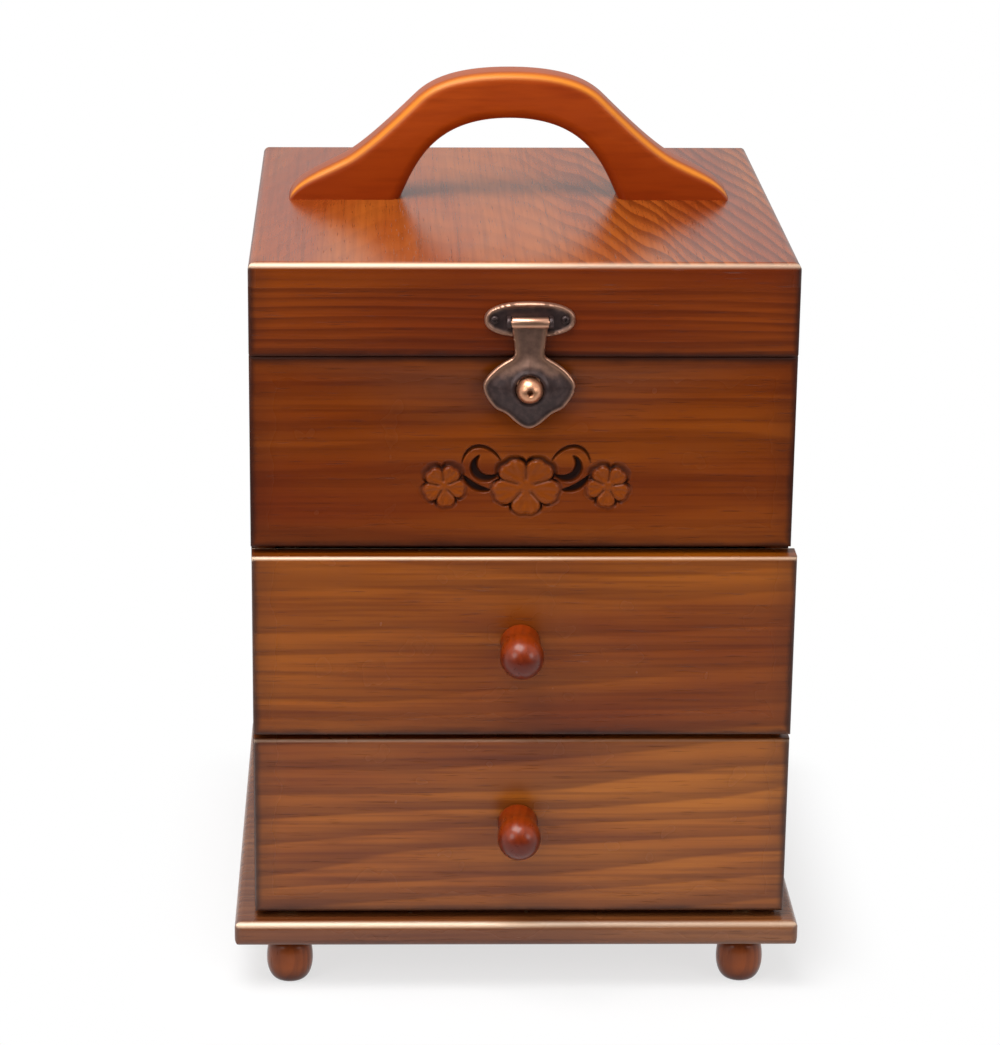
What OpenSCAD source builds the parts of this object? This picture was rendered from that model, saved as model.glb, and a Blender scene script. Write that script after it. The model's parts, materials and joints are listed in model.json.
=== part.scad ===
// Wooden makeup box with a lift-up lid, a carrying handle, a hasp latch and two drawers.
// The front faces -Y, +X is to the right, +Z is up, and the feet stand on z = 0.

/* [Carcass] */
// Width of the carcass over its two sides
body_w = 203; // [170:1:240]
// Depth of the carcass from the upper front to the back
body_d = 204; // [150:1:220]
// Thickness of the sides and of the upper front
panel_t = 9; // [7:0.5:12]
// Thickness of the back panel
back_t = 8; // [6:0.5:10]
// Thickness of the compartment floor and of the drawer divider
shelf_t = 6; // [5:0.5:8]
// Depth of the grooves that carry the shelves and the back
housing = 3; // [2:0.5:4]
// Height of the upper front
upper_front_h = 74; // [60:1:95]
// Radius of the eased front edges
edge_r = 1.5; // [1:0.25:2.5]
// Radius of the eased edges along the lid seam
seam_r = 1.2; // [0.5:0.1:1.5]

/* [Base] */
// Thickness of the base board
base_t = 10; // [9:0.5:14]
// Overhang of the base board at each side
base_side = 7.5; // [4:0.25:12]
// Overhang of the base board in front of the upper front
base_front = 7.5; // [5:0.5:12]
// Overhang of the base board behind the back
base_back = 6; // [3:0.5:7]
// Radius of the base board's rounded edges
base_r = 3; // [1:0.5:4]
// Height of the feet
foot_h = 19; // [17:0.5:24]
// Diameter of the feet
foot_d = 18; // [14:0.5:20]
// Diameter of the flat that a foot stands on
foot_flat_d = 11; // [8:0.5:13]
// Height of a foot's widest ring
foot_mid_h = 8.5; // [6:0.5:10]
// Diameter of the neck above a foot's bun
foot_neck_d = 12; // [9:0.5:13]
// Diameter of the collar under the base board
foot_collar_d = 14.5; // [13:0.5:17]
// Thickness of the collar under the base board
foot_collar_t = 2; // [1:0.5:3]
// Distance from the base board's ends to the centre of a foot
foot_inset_x = 21; // [14:0.5:30]
// Distance from the base board's front and back to the centre of a foot
foot_inset_y = 15; // [12:0.5:30]
// Diameter of a foot's tenon
tenon_d = 8; // [6:0.5:9]
// Length of a foot's tenon
tenon_l = 7; // [5:0.5:8]

/* [Lid] */
// Height of the lid over its top board and rails
lid_h = 35.5; // [30:0.5:50]
// Thickness of the lid's top board
lid_top_t = 9; // [7:0.5:12]
// Thickness of the lid's rails
rail_t = 9; // [7:0.5:12]
// Overhang of the lid at each side
lid_over = 0; // [0:0.25:1.5]
// Overhang of the lid in front
lid_front = 1; // [0:0.25:2]
// Radius of the lid's rounded top edges
lid_r = 3; // [1.5:0.5:4]
// Gap between the closed lid and the carcass
lid_seam = 0.3; // [0.2:0.05:0.6]

/* [Mirror] */
// Margin between the mirror's bead and the lid's side rails
mirror_side = 12; // [3:0.5:35]
// Margin between the mirror's bead and the lid's front and back rails
mirror_end = 14; // [3:0.5:35]
// Thickness of the mirror
mirror_t = 3; // [2:0.5:4]
// Width of the bead round the mirror
bead_w = 8; // [6:0.5:10]
// Height of the bead round the mirror
bead_h = 6; // [5:0.5:8]
// Width of the bead's lip over the mirror
bead_lip = 2; // [1:0.5:3]

/* [Handle] */
// Length of the handle over its toes
handle_l = 173.5; // [140:0.5:190]
// Height of the handle
handle_h = 50.5; // [42:0.5:62]
// Thickness of the handle from front to back
handle_t = 18; // [14:0.5:24]
// Width of the arch under the handle, measured on the lid
arch_w = 86; // [70:1:100]
// Height of the arch under the handle
arch_h = 32; // [26:0.5:36]
// Distance of the handle behind the middle of the lid
handle_back = 10; // [0:0.5:20]
// Distance of the handle to the left of the middle
handle_left_x = 2; // [-10:0.5:10]
// Radius of the handle's rounded edges
handle_r = 4.5; // [2:0.25:6]
// Height over which the rounding grows from a toe's tip
toe_h = 12; // [8:0.5:16]
// Share of the rounding that a toe's tip keeps
toe_share = 0.25; // [0.15:0.05:0.5]
// Distance of each handle screw from the middle
handle_screw_x = 60; // [54:0.5:64]

/* [Drawers] */
// Overhang of the drawer fronts at each side
front_over = 0.75; // [0:0.25:1.5]
// Distance of the drawer fronts to the right of the middle
front_x = 1.25; // [-2:0.25:2]
// Height of the drawer fronts
front_h = 71.5; // [50:0.5:90]
// Thickness of the drawer fronts
front_t = 11; // [9:0.5:14]
// Gap above and below each drawer front
front_gap = 2.5; // [1:0.25:4]
// Thickness of the drawer sides and backs
drawer_t = 7; // [5:0.5:9]
// Room above the drawer sides
drawer_headroom = 12.7; // [4:0.1:25]
// Room behind the drawer boxes
drawer_rear = 10.3; // [4:0.1:40]
// Thickness of the drawer bottoms
bottom_t = 3; // [2.5:0.5:4]
// Height of the drawer bottom above the lower edge of the sides
bottom_rise = 4; // [3:0.5:6]
// Gap between the drawer box and the carcass at each side
drawer_play = 0.5; // [0.3:0.1:1]
// Gap under the drawer box
drawer_lift = 0.3; // [0.2:0.05:0.5]
// Gap between a closed drawer front and the carcass
closed_gap = 0.3; // [0.2:0.05:0.5]
// How far the upper drawer stands open
upper_open = 2; // [0:0.5:20]

/* [Knobs] */
// Diameter of the knobs
knob_d = 16.5; // [14:0.5:20]
// Length of the knobs in front of the drawer front
knob_l = 23.5; // [20:0.5:26]
// Diameter of a knob's foot
knob_foot_d = 15; // [12:0.5:16]
// Diameter of a knob's waist
knob_waist_d = 13.5; // [10:0.5:14]
// Distance of a knob's waist from the drawer front
knob_waist_l = 5; // [4:0.5:7]
// Height of the knobs above the middle of the front
knob_rise = 1.5; // [-2:0.5:5]

/* [Hinges] */
// Distance of each hinge from the middle
hinge_x = 62; // [45:1:70]
// Length of a hinge along its pin
hinge_l = 28; // [20:1:35]
// Height of a hinge leaf from the pin
leaf_h = 17; // [14:0.5:20]
// Thickness of the hinge leaves
leaf_t = 1.2; // [0.8:0.1:1.2]
// Outer diameter of the hinge knuckles
knuckle_d = 4.8; // [4.6:0.1:6]
// Diameter of the hinge pin
hinge_pin_d = 2.4; // [2:0.1:2.6]
// Reach of the stop lug in front of the knuckle
stop_l = 2.4; // [2:0.1:3]
// Depth of the stop lug's root in the knuckle
stop_root = 0.6; // [0.4:0.1:0.8]
// Distance of a leaf's outer screws from its middle
leaf_screw_x = 9; // [6:0.5:10]
// Distance of a leaf's outer screws from the pin
leaf_screw_near = 8; // [7:0.5:9]
// Distance of a leaf's middle screw from the pin
leaf_screw_far = 13.5; // [12:0.5:14]

/* [Latch] */
// Distance of the latch to the right of the middle
latch_x = 2; // [-10:0.5:10]
// Width of the oval latch plate
plate_w = 33.5; // [28:0.5:40]
// Height of the oval latch plate
plate_h = 13.5; // [12:0.5:15]
// Power of the plate's outline, where 1 is an ellipse and less is fuller
plate_power = 0.85; // [0.7:0.05:1]
// Height of the plate's middle above the latch pin
plate_rise = 0.5; // [-1:0.25:1]
// Width of the plate's raised rim
rim_w = 1.2; // [0.8:0.1:1.5]
// Height of the plate's raised rim
rim_t = 0.6; // [0.3:0.1:0.8]
// Thickness of the ears that hold the latch pin
ear_t = 1.5; // [1:0.1:2]
// Distance of each latch screw from the plate's middle
latch_screw_x = 13; // [12:0.25:13.5]
// Thickness of the latch plate and of the hasp
plate_t = 1.2; // [0.8:0.1:1.5]
// Distance from the lid's top down to the latch pin
latch_drop = 21.5; // [18:0.5:26]
// Diameter of the hasp's rolled knuckle
roll_d = 4.2; // [3.6:0.1:5]
// Width of the hasp's rolled knuckle
roll_w = 13.5; // [10:0.5:15]
// Diameter of the latch pin
latch_pin_d = 1.6; // [1.2:0.1:2]
// Width of the hasp's strap under its knuckle
strap_w = 13.2; // [10:0.1:14]
// Width of the hasp's neck
neck_w = 11; // [9:0.5:12]
// Distance of the hasp's face behind the middle of its pin
hasp_set = 0.2; // [0:0.1:0.4]
// Width of the hasp's shield
shield_w = 34; // [28:0.5:40]
// Length of the hasp from its pin to its point
hasp_l = 40.5; // [38:0.5:46]
// Distance from the latch pin down to the stud
stud_drop = 25; // [24:0.5:27]
// Diameter of the stud's ball
stud_d = 10; // [8:0.1:10]
// Diameter of the stud's collar
stud_collar_d = 8.8; // [8:0.1:9.4]
// Thickness of the stud's collar
stud_collar_t = 1; // [0.6:0.1:1.5]
// Diameter of the stud's stem
stud_stem_d = 5; // [4:0.1:6]
// Reach of the stud's ball in front of the carcass
stud_l = 12; // [11:0.5:14]
// Diameter of the hole in the shield
hasp_hole_d = 10.8; // [10.6:0.1:12]
// Width of the ring round the hole in the shield
ring_w = 1.3; // [0.8:0.1:2]
// Height of the ring round the hole in the shield
ring_t = 0.5; // [0.3:0.1:0.8]

/* [Screws] */
// Diameter of the wood screws' shanks
screw_d = 3; // [2.5:0.1:3.5]
// Diameter of the wood screws' heads
screw_head_d = 6; // [5:0.1:6.5]
// Depth of the base screws in the sides
base_grip = 15; // [10:0.5:20]
// Distance of the base screws from the ends of the sides
base_screw_end = 44.5; // [30:0.5:60]
// Depth of the handle screws in the handle
handle_grip = 9; // [7:0.5:11]
// Diameter of the knob screws' shanks
knob_screw_d = 4; // [3:0.1:4.5]
// Depth of the knob screws in the knobs
knob_screw_depth = 10; // [6:0.5:12]
// Diameter of the knob screws' heads
knob_screw_head_d = 7.2; // [6:0.1:8]
// Thickness of the knob screws' heads
knob_screw_head_t = 2; // [1.5:0.1:3]
// Diameter of the hinge and latch screws' shanks
pin_screw_d = 1.6; // [1.4:0.1:2]
// Diameter of the hinge and latch screws' heads
pin_head_d = 3.2; // [3:0.1:3.6]
// Height of the hinge and latch screws' heads
pin_head_t = 1; // [0.8:0.05:1.2]
// Length of the hinge and latch screws
pin_screw_l = 6; // [4:0.5:6.5]

/* [Linings] */
// Thickness of the felt linings
felt_t = 1.5; // [1:0.25:2.5]
// Gap between a lining and the walls round it
felt_gap = 0.5; // [0.3:0.1:1.5]

/* [Fits] */
// Radial clearance of a pin in its bore
pin_fit = 0.05; // [0.02:0.01:0.1]
// Gap between neighbouring knuckles and other moving metal
metal_gap = 0.3; // [0.2:0.05:0.5]

/* [Hidden] */
// Overshoot of the shapes that cut
cut = 1;
$fn = 64;

// Colours
walnut = "#7a4218";
amber = "#a4440f";
cherry = "#8c3310";
pale = "#c79b6a";
bronze = "#5b4742";
copper = "#d39f73";
felt = "#6d1a26";
glass = "#cdd6da";
steel = "#8d8d90";

// Heights, from the floor up
base_z = foot_h;
carcass_z = base_z + base_t;
lower_front_z = carcass_z + front_gap;
upper_front_z = lower_front_z + front_h + front_gap;
panel_z = upper_front_z + front_h + front_gap;
carcass_top = panel_z + upper_front_h;
lid_z = carcass_top + lid_seam;
lid_top_z = lid_z + lid_h;
rail_h = lid_h - lid_top_t;
board_z = lid_z + rail_h;
divider_z = upper_front_z - front_gap / 2 - shelf_t / 2;
lower_bay_z = carcass_z;
upper_bay_z = divider_z + shelf_t;
upper_bay_h = panel_z - upper_bay_z;

// Widths and depths
inner_w = body_w - 2 * panel_t;
lid_w = body_w + 2 * lid_over;
lid_y = -lid_front;
lid_d = body_d - lid_y;
inner_back = body_d - back_t;
shelf_d = inner_back - panel_t;
base_w = body_w + 2 * base_side;
base_d = base_front + body_d + base_back;
closed_y = panel_t - closed_gap - front_t;
front_w = body_w + 2 * front_over;
drawer_w = inner_w - 2 * drawer_play;
drawer_l = inner_back - drawer_rear - closed_y - front_t;
drawer_h = upper_bay_h - drawer_lift - drawer_headroom;
mirror_w = lid_w - 2 * (rail_t + mirror_side + bead_w - bead_lip);
mirror_d = lid_d - 2 * (rail_t + mirror_end + bead_w - bead_lip);
handle_y = lid_y + lid_d / 2 + handle_back;

// Hinge line and latch line
knuckle_r = knuckle_d / 2;
hinge_y = body_d + metal_gap + knuckle_r;
hinge_z = carcass_top + lid_seam / 2;
stop_r = knuckle_r + stop_l;
roll_r = roll_d / 2;
latch_y = lid_y - plate_t - metal_gap - roll_r;
latch_z = lid_top_z - latch_drop;

// The box round the resting object is centred on x = 0 and y = 0
front_most = closed_y - upper_open - knob_l;
back_most = max(body_d + base_back, hinge_y + stop_r);
y_mid = (front_most + back_most) / 2;

module placed(p = [0, 0, 0]) {
    translate(p - [0, y_mid, 0]) children();
}

// Point on a cubic curve through a and d with handles b and c
function cubic(a, b, c, d, t) =
    pow(1 - t, 3) * a + 3 * t * pow(1 - t, 2) * b + 3 * t * t * (1 - t) * c + pow(t, 3) * d;

// Points of a chain of cubic curves, each given as its three last points
function chain(start, curves, steps) = concat(
    [start],
    [for (i = [0:len(curves) - 1], k = [1:steps])
        cubic(i == 0 ? start : curves[i - 1][2], curves[i][0], curves[i][1], curves[i][2], k / steps)]
);

function reversed(list) = [for (i = [len(list) - 1:-1:0]) list[i]];
function mirrored(list) = [for (p = list) [-p[0], p[1]]];
function swell(share, power) = sign(share) * pow(abs(share), power);
function oval(w, h, power, steps) = [for (i = [0:steps - 1]) let (a = 360 * i / steps)
    [w / 2 * swell(cos(a), power), h / 2 * swell(sin(a), power)]];

// What rounding takes off a square corner at the origin
module corner_waste(r) {
    difference() {
        translate([-cut, -cut]) square(r + cut);
        translate([r, r]) circle(r);
    }
}

// Rectangle with one radius for each corner, from the origin corner round anticlockwise
module eased_rect(w, h, radii) {
    corners = [[0, 0], [w, 0], [w, h], [0, h]];
    difference() {
        square([w, h]);
        for (i = [0:3]) {
            if (radii[i] > 0) translate(corners[i]) rotate(90 * i) corner_waste(radii[i]);
        }
    }
}

// A section drawn as (y, z), run along X
module along_x(l) {
    rotate([90, 0, 90]) linear_extrude(l) children();
}

// A section drawn as (x, z), run along Y
module along_y(l) {
    translate([0, l, 0]) rotate([90, 0, 0]) linear_extrude(l) children();
}

// Board with plan corners, edges seen from the side and edges seen from the front eased to their own radii
module board(size, plan = [0, 0, 0, 0], side = [0, 0, 0, 0], front = [0, 0, 0, 0]) {
    intersection() {
        linear_extrude(size[2]) eased_rect(size[0], size[1], plan);
        along_x(size[0]) eased_rect(size[1], size[2], side);
        along_y(size[1]) eased_rect(size[0], size[2], front);
    }
}

// The right-hand piece as drawn, or its left-hand twin
module flipped(s) {
    if (s > 0) children();
    if (s < 0) mirror([1, 0, 0]) children();
}

module at_each(points) {
    for (p = points) translate(p) children();
}

// Countersunk wood screw along -Z, its flat head at z = 0
module wood_screw(l) {
    head = (screw_head_d - screw_d) / 2;
    rotate_extrude() polygon([
        [0, 0], [screw_head_d / 2, 0], [screw_d / 2, -head], [screw_d / 2, screw_d / 2 - l], [0, -l]
    ]);
}

// Hole that takes a wood screw
module wood_screw_hole(l) {
    head = (screw_head_d - screw_d) / 2;
    translate([0, 0, -l]) cylinder(h = l + cut, r = screw_d / 2 + pin_fit);
    translate([0, 0, -head - pin_fit]) cylinder(h = head, r1 = screw_d / 2, r2 = screw_head_d / 2);
    translate([0, 0, -pin_fit]) cylinder(h = cut, r = screw_head_d / 2);
}

// Round-headed small screw along -Z, its head standing on z = 0
module pin_screw() {
    ball_r = (pow(pin_head_d / 2, 2) + pow(pin_head_t, 2)) / (2 * pin_head_t);
    intersection() {
        translate([0, 0, pin_head_t - ball_r]) sphere(ball_r);
        cylinder(h = pin_head_t, r = pin_head_d / 2);
    }
    translate([0, 0, -pin_screw_l]) cylinder(h = pin_screw_l, r = pin_screw_d / 2);
}

module pin_screw_hole() {
    l = pin_screw_l + plate_t + 2 * cut;
    translate([0, 0, -pin_screw_l - cut / 2]) cylinder(h = l, r = pin_screw_d / 2 + pin_fit);
}

// Base board and feet
foot_places = [for (back = [0, 1], right = [0, 1]) [
    (right == 1 ? 1 : -1) * (base_w / 2 - foot_inset_x),
    back == 1 ? body_d + base_back - foot_inset_y : foot_inset_y - base_front
]];
base_screw_places = [for (x = [-1, 1], y = [panel_t + base_screw_end, body_d - base_screw_end])
    [x * (body_w - panel_t) / 2, y, base_z]];
base_screw_l = base_t + base_grip;

module base_board() {
    r4 = [base_r, base_r, base_r, base_r];
    color(walnut) placed() difference() {
        translate([-base_w / 2, -base_front, base_z]) board([base_w, base_d, base_t], r4, r4, r4);
        for (p = foot_places) {
            translate([p[0], p[1], base_z - cut])
                cylinder(h = tenon_l + 1.5 * cut, r = tenon_d / 2 + pin_fit);
        }
        at_each(base_screw_places) mirror([0, 0, 1]) wood_screw_hole(base_screw_l);
    }
}

module base_screws() {
    color(steel) placed() at_each(base_screw_places) mirror([0, 0, 1]) wood_screw(base_screw_l);
}

// Turned foot: a bun with a flat underside, a neck and a collar, with a tenon on top
foot_r = foot_d / 2;
foot_neck_z = foot_h - foot_collar_t;
foot_bun = chain([foot_flat_d / 2, 0], [
    [[foot_r, 0], [foot_r, foot_mid_h / 2], [foot_r, foot_mid_h]],
    [[foot_r, (foot_mid_h + foot_neck_z) / 2], [foot_r, foot_neck_z], [foot_neck_d / 2, foot_neck_z]]
], 8);
foot_top = [
    [foot_collar_d / 2, foot_neck_z], [foot_collar_d / 2, foot_h],
    [tenon_d / 2, foot_h], [tenon_d / 2, foot_h + tenon_l], [0, foot_h + tenon_l]
];

module foot(i) {
    color(cherry) placed([foot_places[i][0], foot_places[i][1], 0])
        rotate_extrude() polygon(concat([[0, 0]], foot_bun, foot_top));
}

module front_left_foot() { foot(0); }
module front_right_foot() { foot(1); }
module back_left_foot() { foot(2); }
module back_right_foot() { foot(3); }

// Carcass
module side_panel(s) {
    color(walnut) placed() flipped(s) difference() {
        translate([body_w / 2 - panel_t, panel_t, carcass_z])
            board([panel_t, body_d - panel_t, carcass_top - carcass_z], front = [0, 0, seam_r, 0],
                plan = [0, 0, edge_r, 0]);
        for (z = [divider_z, panel_z]) {
            translate([inner_w / 2 - cut, panel_t - cut, z]) cube([housing + cut, shelf_d + cut, shelf_t]);
        }
        translate([inner_w / 2 - cut, inner_back, carcass_z - cut])
            cube([housing + cut, back_t + cut, carcass_top - carcass_z + 2 * cut]);
        for (p = base_screw_places) {
            if (p[0] > 0) translate([p[0], p[1], p[2]]) mirror([0, 0, 1]) wood_screw_hole(base_screw_l);
        }
    }
}

module left_side() { side_panel(-1); }
module right_side() { side_panel(1); }

leaf_screws = [[-leaf_screw_x, leaf_screw_near], [leaf_screw_x, leaf_screw_near], [0, leaf_screw_far]];
hinge_screw_places = [for (s = [-1, 1], p = leaf_screws) [s * hinge_x + p[0], p[1]]];

module back_panel() {
    w = inner_w + 2 * housing;
    color(walnut) placed() difference() {
        translate([-w / 2, inner_back, carcass_z])
            board([w, back_t, carcass_top - carcass_z], side = [0, 0, seam_r, 0]);
        for (p = hinge_screw_places) {
            translate([p[0], body_d, hinge_z - p[1]]) rotate([-90, 0, 0]) pin_screw_hole();
        }
    }
}

module upper_front() {
    color(walnut) placed() difference() {
        translate([-body_w / 2, 0, panel_z]) board([body_w, panel_t, upper_front_h],
            plan = [edge_r, edge_r, 0, 0], side = [edge_r, 0, 0, seam_r]);
        translate([latch_x, 0, latch_z - stud_drop]) rotate([90, 0, 0]) pin_screw_hole();
    }
}

module shelf(z) {
    w = inner_w + 2 * housing;
    color(walnut) placed([-w / 2, panel_t, z]) cube([w, shelf_d, shelf_t]);
}

module upper_floor() { shelf(panel_z); }
module drawer_divider() { shelf(divider_z); }

module compartment_lining() {
    color(felt) placed([-inner_w / 2 + felt_gap, panel_t + felt_gap, panel_z + shelf_t])
        cube([inner_w - 2 * felt_gap, shelf_d - 2 * felt_gap, felt_t]);
}

// Hinges: three knuckles on the carcass leaf, two on the lid leaf, and a stop lug on the lid's knuckles
knuckle_count = 5;
knuckle_step = hinge_l / knuckle_count;

module knuckle(i) {
    translate([-hinge_l / 2 + i * knuckle_step + metal_gap / 2, 0, 0])
        rotate([0, 90, 0]) cylinder(h = knuckle_step - metal_gap, r = knuckle_r);
}

// Leaf drawn with the pin on the X axis and the plate hanging below it against y = back
module hinge_leaf(first) {
    back = -metal_gap - knuckle_r;
    clear = knuckle_r + metal_gap;
    difference() {
        union() {
            translate([-hinge_l / 2, back, -leaf_h]) cube([hinge_l, leaf_t, leaf_h - clear]);
            for (i = [first:2:knuckle_count - 1]) {
                knuckle(i);
                translate([-hinge_l / 2 + i * knuckle_step + metal_gap / 2, back, -clear - cut])
                    cube([knuckle_step - metal_gap, leaf_t, clear + cut]);
            }
        }
        translate([-hinge_l, 0, 0]) rotate([0, 90, 0])
            cylinder(h = 2 * hinge_l, r = hinge_pin_d / 2 + pin_fit);
        for (p = leaf_screws) {
            translate([p[0], back - cut, -p[1]]) rotate([-90, 0, 0])
                cylinder(h = leaf_t + 2 * cut, r = pin_screw_d / 2 + pin_fit);
        }
    }
}

module hinge_body_leaf(s) {
    color(bronze) placed([s * hinge_x, hinge_y, hinge_z]) hinge_leaf(0);
}

module hinge_lid_leaf(s) {
    lug_t = leaf_t;
    color(bronze) placed([s * hinge_x, hinge_y, hinge_z]) union() {
        mirror([0, 0, 1]) hinge_leaf(1);
        for (i = [1:2:knuckle_count - 1]) {
            translate([-hinge_l / 2 + i * knuckle_step + metal_gap / 2, knuckle_r - stop_root, -lug_t / 2])
                cube([knuckle_step - metal_gap, stop_l + stop_root, lug_t]);
        }
    }
}

module left_hinge_body_leaf() { hinge_body_leaf(-1); }
module right_hinge_body_leaf() { hinge_body_leaf(1); }
module left_hinge_lid_leaf() { hinge_lid_leaf(-1); }
module right_hinge_lid_leaf() { hinge_lid_leaf(1); }

module hinge_pin(s) {
    color(copper) placed([s * hinge_x - hinge_l / 2, hinge_y, hinge_z])
        rotate([0, 90, 0]) cylinder(h = hinge_l, r = hinge_pin_d / 2);
}

module left_hinge_pin() { hinge_pin(-1); }
module right_hinge_pin() { hinge_pin(1); }

module hinge_screws(up) {
    color(bronze) placed() for (p = hinge_screw_places) {
        translate([p[0], body_d + leaf_t, hinge_z + up * p[1]]) rotate([-90, 0, 0]) pin_screw();
    }
}

module hinge_body_screws() { hinge_screws(-1); }
module hinge_lid_screws() { hinge_screws(1); }

// Turned stud: a collar on the upper front, a stem and a ball, with a pin behind
module latch_stud() {
    ball_r = stud_d / 2;
    color(copper) placed([latch_x, 0, latch_z - stud_drop]) rotate([90, 0, 0]) {
        rotate_extrude() {
            square([stud_collar_d / 2, stud_collar_t]);
            square([stud_stem_d / 2, stud_l - ball_r]);
            intersection() {
                translate([0, stud_l - ball_r]) circle(ball_r);
                square([stud_d, stud_l + cut]);
            }
        }
        translate([0, 0, -pin_screw_l]) cylinder(h = pin_screw_l + stud_collar_t / 2, r = pin_screw_d / 2);
    }
}

// Lid
handle_screw_l = lid_top_t + handle_grip;
handle_screw_places = [for (s = [-1, 1]) [s * handle_screw_x - handle_left_x, handle_y, board_z]];

module lid_top() {
    color(walnut) placed() difference() {
        translate([-lid_w / 2, lid_y, board_z]) board([lid_w, lid_d, lid_top_t],
            plan = [edge_r, edge_r, edge_r, edge_r],
            side = [0, 0, lid_r, lid_r],
            front = [0, 0, lid_r, lid_r]);
        at_each(handle_screw_places) mirror([0, 0, 1]) wood_screw_hole(handle_screw_l);
    }
}

module lid_front_rail() {
    color(walnut) placed() difference() {
        translate([-lid_w / 2, lid_y, lid_z]) board([lid_w, rail_t, rail_h],
            plan = [edge_r, edge_r, 0, 0], side = [seam_r, 0, 0, 0], front = [seam_r, seam_r, 0, 0]);
        for (p = latch_screw_places) translate(p) rotate([90, 0, 0]) pin_screw_hole();
    }
}

module lid_back_rail() {
    color(walnut) placed() difference() {
        translate([-lid_w / 2, body_d - rail_t, lid_z]) board([lid_w, rail_t, rail_h],
            plan = [0, 0, edge_r, edge_r], side = [0, seam_r, 0, 0], front = [seam_r, seam_r, 0, 0]);
        for (p = hinge_screw_places) {
            translate([p[0], body_d, hinge_z + p[1]]) rotate([-90, 0, 0]) pin_screw_hole();
        }
    }
}

module side_rail(s) {
    color(walnut) placed() flipped(s)
        translate([lid_w / 2 - rail_t, lid_y + rail_t, lid_z])
            board([rail_t, lid_d - 2 * rail_t, rail_h], front = [0, seam_r, 0, 0]);
}

module lid_left_rail() { side_rail(-1); }
module lid_right_rail() { side_rail(1); }

// Mirror under the lid's top board, held by four mitred beads
lid_mid_y = lid_y + lid_d / 2;

module mirror_glass() {
    translate([-mirror_w / 2, -mirror_d / 2, -mirror_t]) cube([mirror_w, mirror_d, mirror_t]);
}

module lid_mirror() {
    color(glass) placed([0, lid_mid_y, board_z]) mirror_glass();
}

// Bead along X for a mirror edge of length l that lies at y = -reach
module bead(l, reach) {
    inner = l / 2 - bead_lip;
    outer = inner + bead_w;
    difference() {
        intersection() {
            translate([0, -reach, -bead_h]) linear_extrude(bead_h) polygon([
                [-inner, bead_lip], [inner, bead_lip],
                [outer, bead_lip - bead_w], [-outer, bead_lip - bead_w]
            ]);
            translate([-outer, bead_lip - bead_w - reach, -bead_h])
                along_x(2 * outer) eased_rect(bead_w, bead_h, [bead_lip / 2, bead_lip, 0, 0]);
        }
        translate([-l / 2, -reach, -mirror_t]) cube([l, bead_w, mirror_t + cut]);
    }
}

module mirror_bead(turn, l, reach) {
    color(walnut) placed([0, lid_mid_y, board_z]) rotate([0, 0, turn]) bead(l, reach);
}

module mirror_front_bead() { mirror_bead(0, mirror_w, mirror_d / 2); }
module mirror_right_bead() { mirror_bead(90, mirror_d, mirror_w / 2); }
module mirror_back_bead() { mirror_bead(180, mirror_w, mirror_d / 2); }
module mirror_left_bead() { mirror_bead(270, mirror_d, mirror_w / 2); }

// Handle: an arched grip with long ogee shoulders, its front and back edges rounded over
handle_half = handle_l / 2;
arch_half = arch_w / 2;
handle_outer = chain([0, handle_h], [
    [[0.194 * handle_half, handle_h], [0.326 * handle_half, 0.939 * handle_h],
        [0.411 * handle_half, 0.796 * handle_h]],
    [[0.526 * handle_half, 0.605 * handle_h], [0.629 * handle_half, 0.441 * handle_h],
        [0.72 * handle_half, 0.3435 * handle_h]],
    [[0.811 * handle_half, 0.248 * handle_h], [0.937 * handle_half, 0.143 * handle_h], [handle_half, 0]]
], 10);
handle_inner = chain([arch_half, 0], [
    [[0.862 * arch_half, 0.41 * arch_h], [0.713 * arch_half, arch_h], [0, arch_h]]
], 12);
handle_right = concat(handle_outer, handle_inner);
handle_left = mirrored(reversed(handle_right));
handle_path = concat(handle_right, [for (i = [1:len(handle_left) - 2]) handle_left[i]]);
handle_n = len(handle_path);

// Neighbours of a point along the outline; the flat underside doesn't turn the two ends of a curve
function beside(i, step) =
    let (p = handle_path[i], q = handle_path[(i + step + handle_n) % handle_n])
    p[1] == 0 && q[1] == 0 ? p : q;

// Outline point moved inwards by the rounding, less near the thin toes, and along the lid at its underside
function rounded_point(i, inset) =
    let (
        p = handle_path[i],
        run = beside(i, 1) - beside(i, -1),
        inward = [run[1], -run[0]] / norm(run),
        thin = abs(p[0]) > arch_half ? min(1, toe_share + (1 - toe_share) * p[1] / toe_h) : 1
    )
    p[1] == 0 ? p + [thin * inset / inward[0], 0] : p + thin * inset * inward;

handle_turns = 5;
handle_layers = concat(
    [for (k = [0:handle_turns]) let (a = 90 * k / handle_turns)
        [-handle_t / 2 + handle_r * (1 - cos(a)), handle_r * (1 - sin(a))]],
    [for (k = [handle_turns:-1:0]) let (a = 90 * k / handle_turns)
        [handle_t / 2 - handle_r * (1 - cos(a)), handle_r * (1 - sin(a))]]
);

module handle_blank() {
    layers = len(handle_layers);
    points = [for (l = handle_layers, i = [0:handle_n - 1])
        let (p = rounded_point(i, l[1])) [p[0], l[0], p[1]]];
    walls = [for (k = [0:layers - 2], i = [0:handle_n - 1], half = [0, 1])
        let (a = k * handle_n + i, b = k * handle_n + (i + 1) % handle_n)
        half == 0 ? [a, a + handle_n, b + handle_n] : [a, b + handle_n, b]];
    front = [for (i = [0:handle_n - 1]) i];
    back = [for (i = [handle_n - 1:-1:0]) (layers - 1) * handle_n + i];
    polyhedron(points = points, faces = concat(walls, [front, back]), convexity = 6);
}

module handle() {
    color(amber) placed() difference() {
        translate([-handle_left_x, handle_y, lid_top_z]) handle_blank();
        at_each(handle_screw_places) mirror([0, 0, 1]) wood_screw_hole(handle_screw_l);
    }
}

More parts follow.
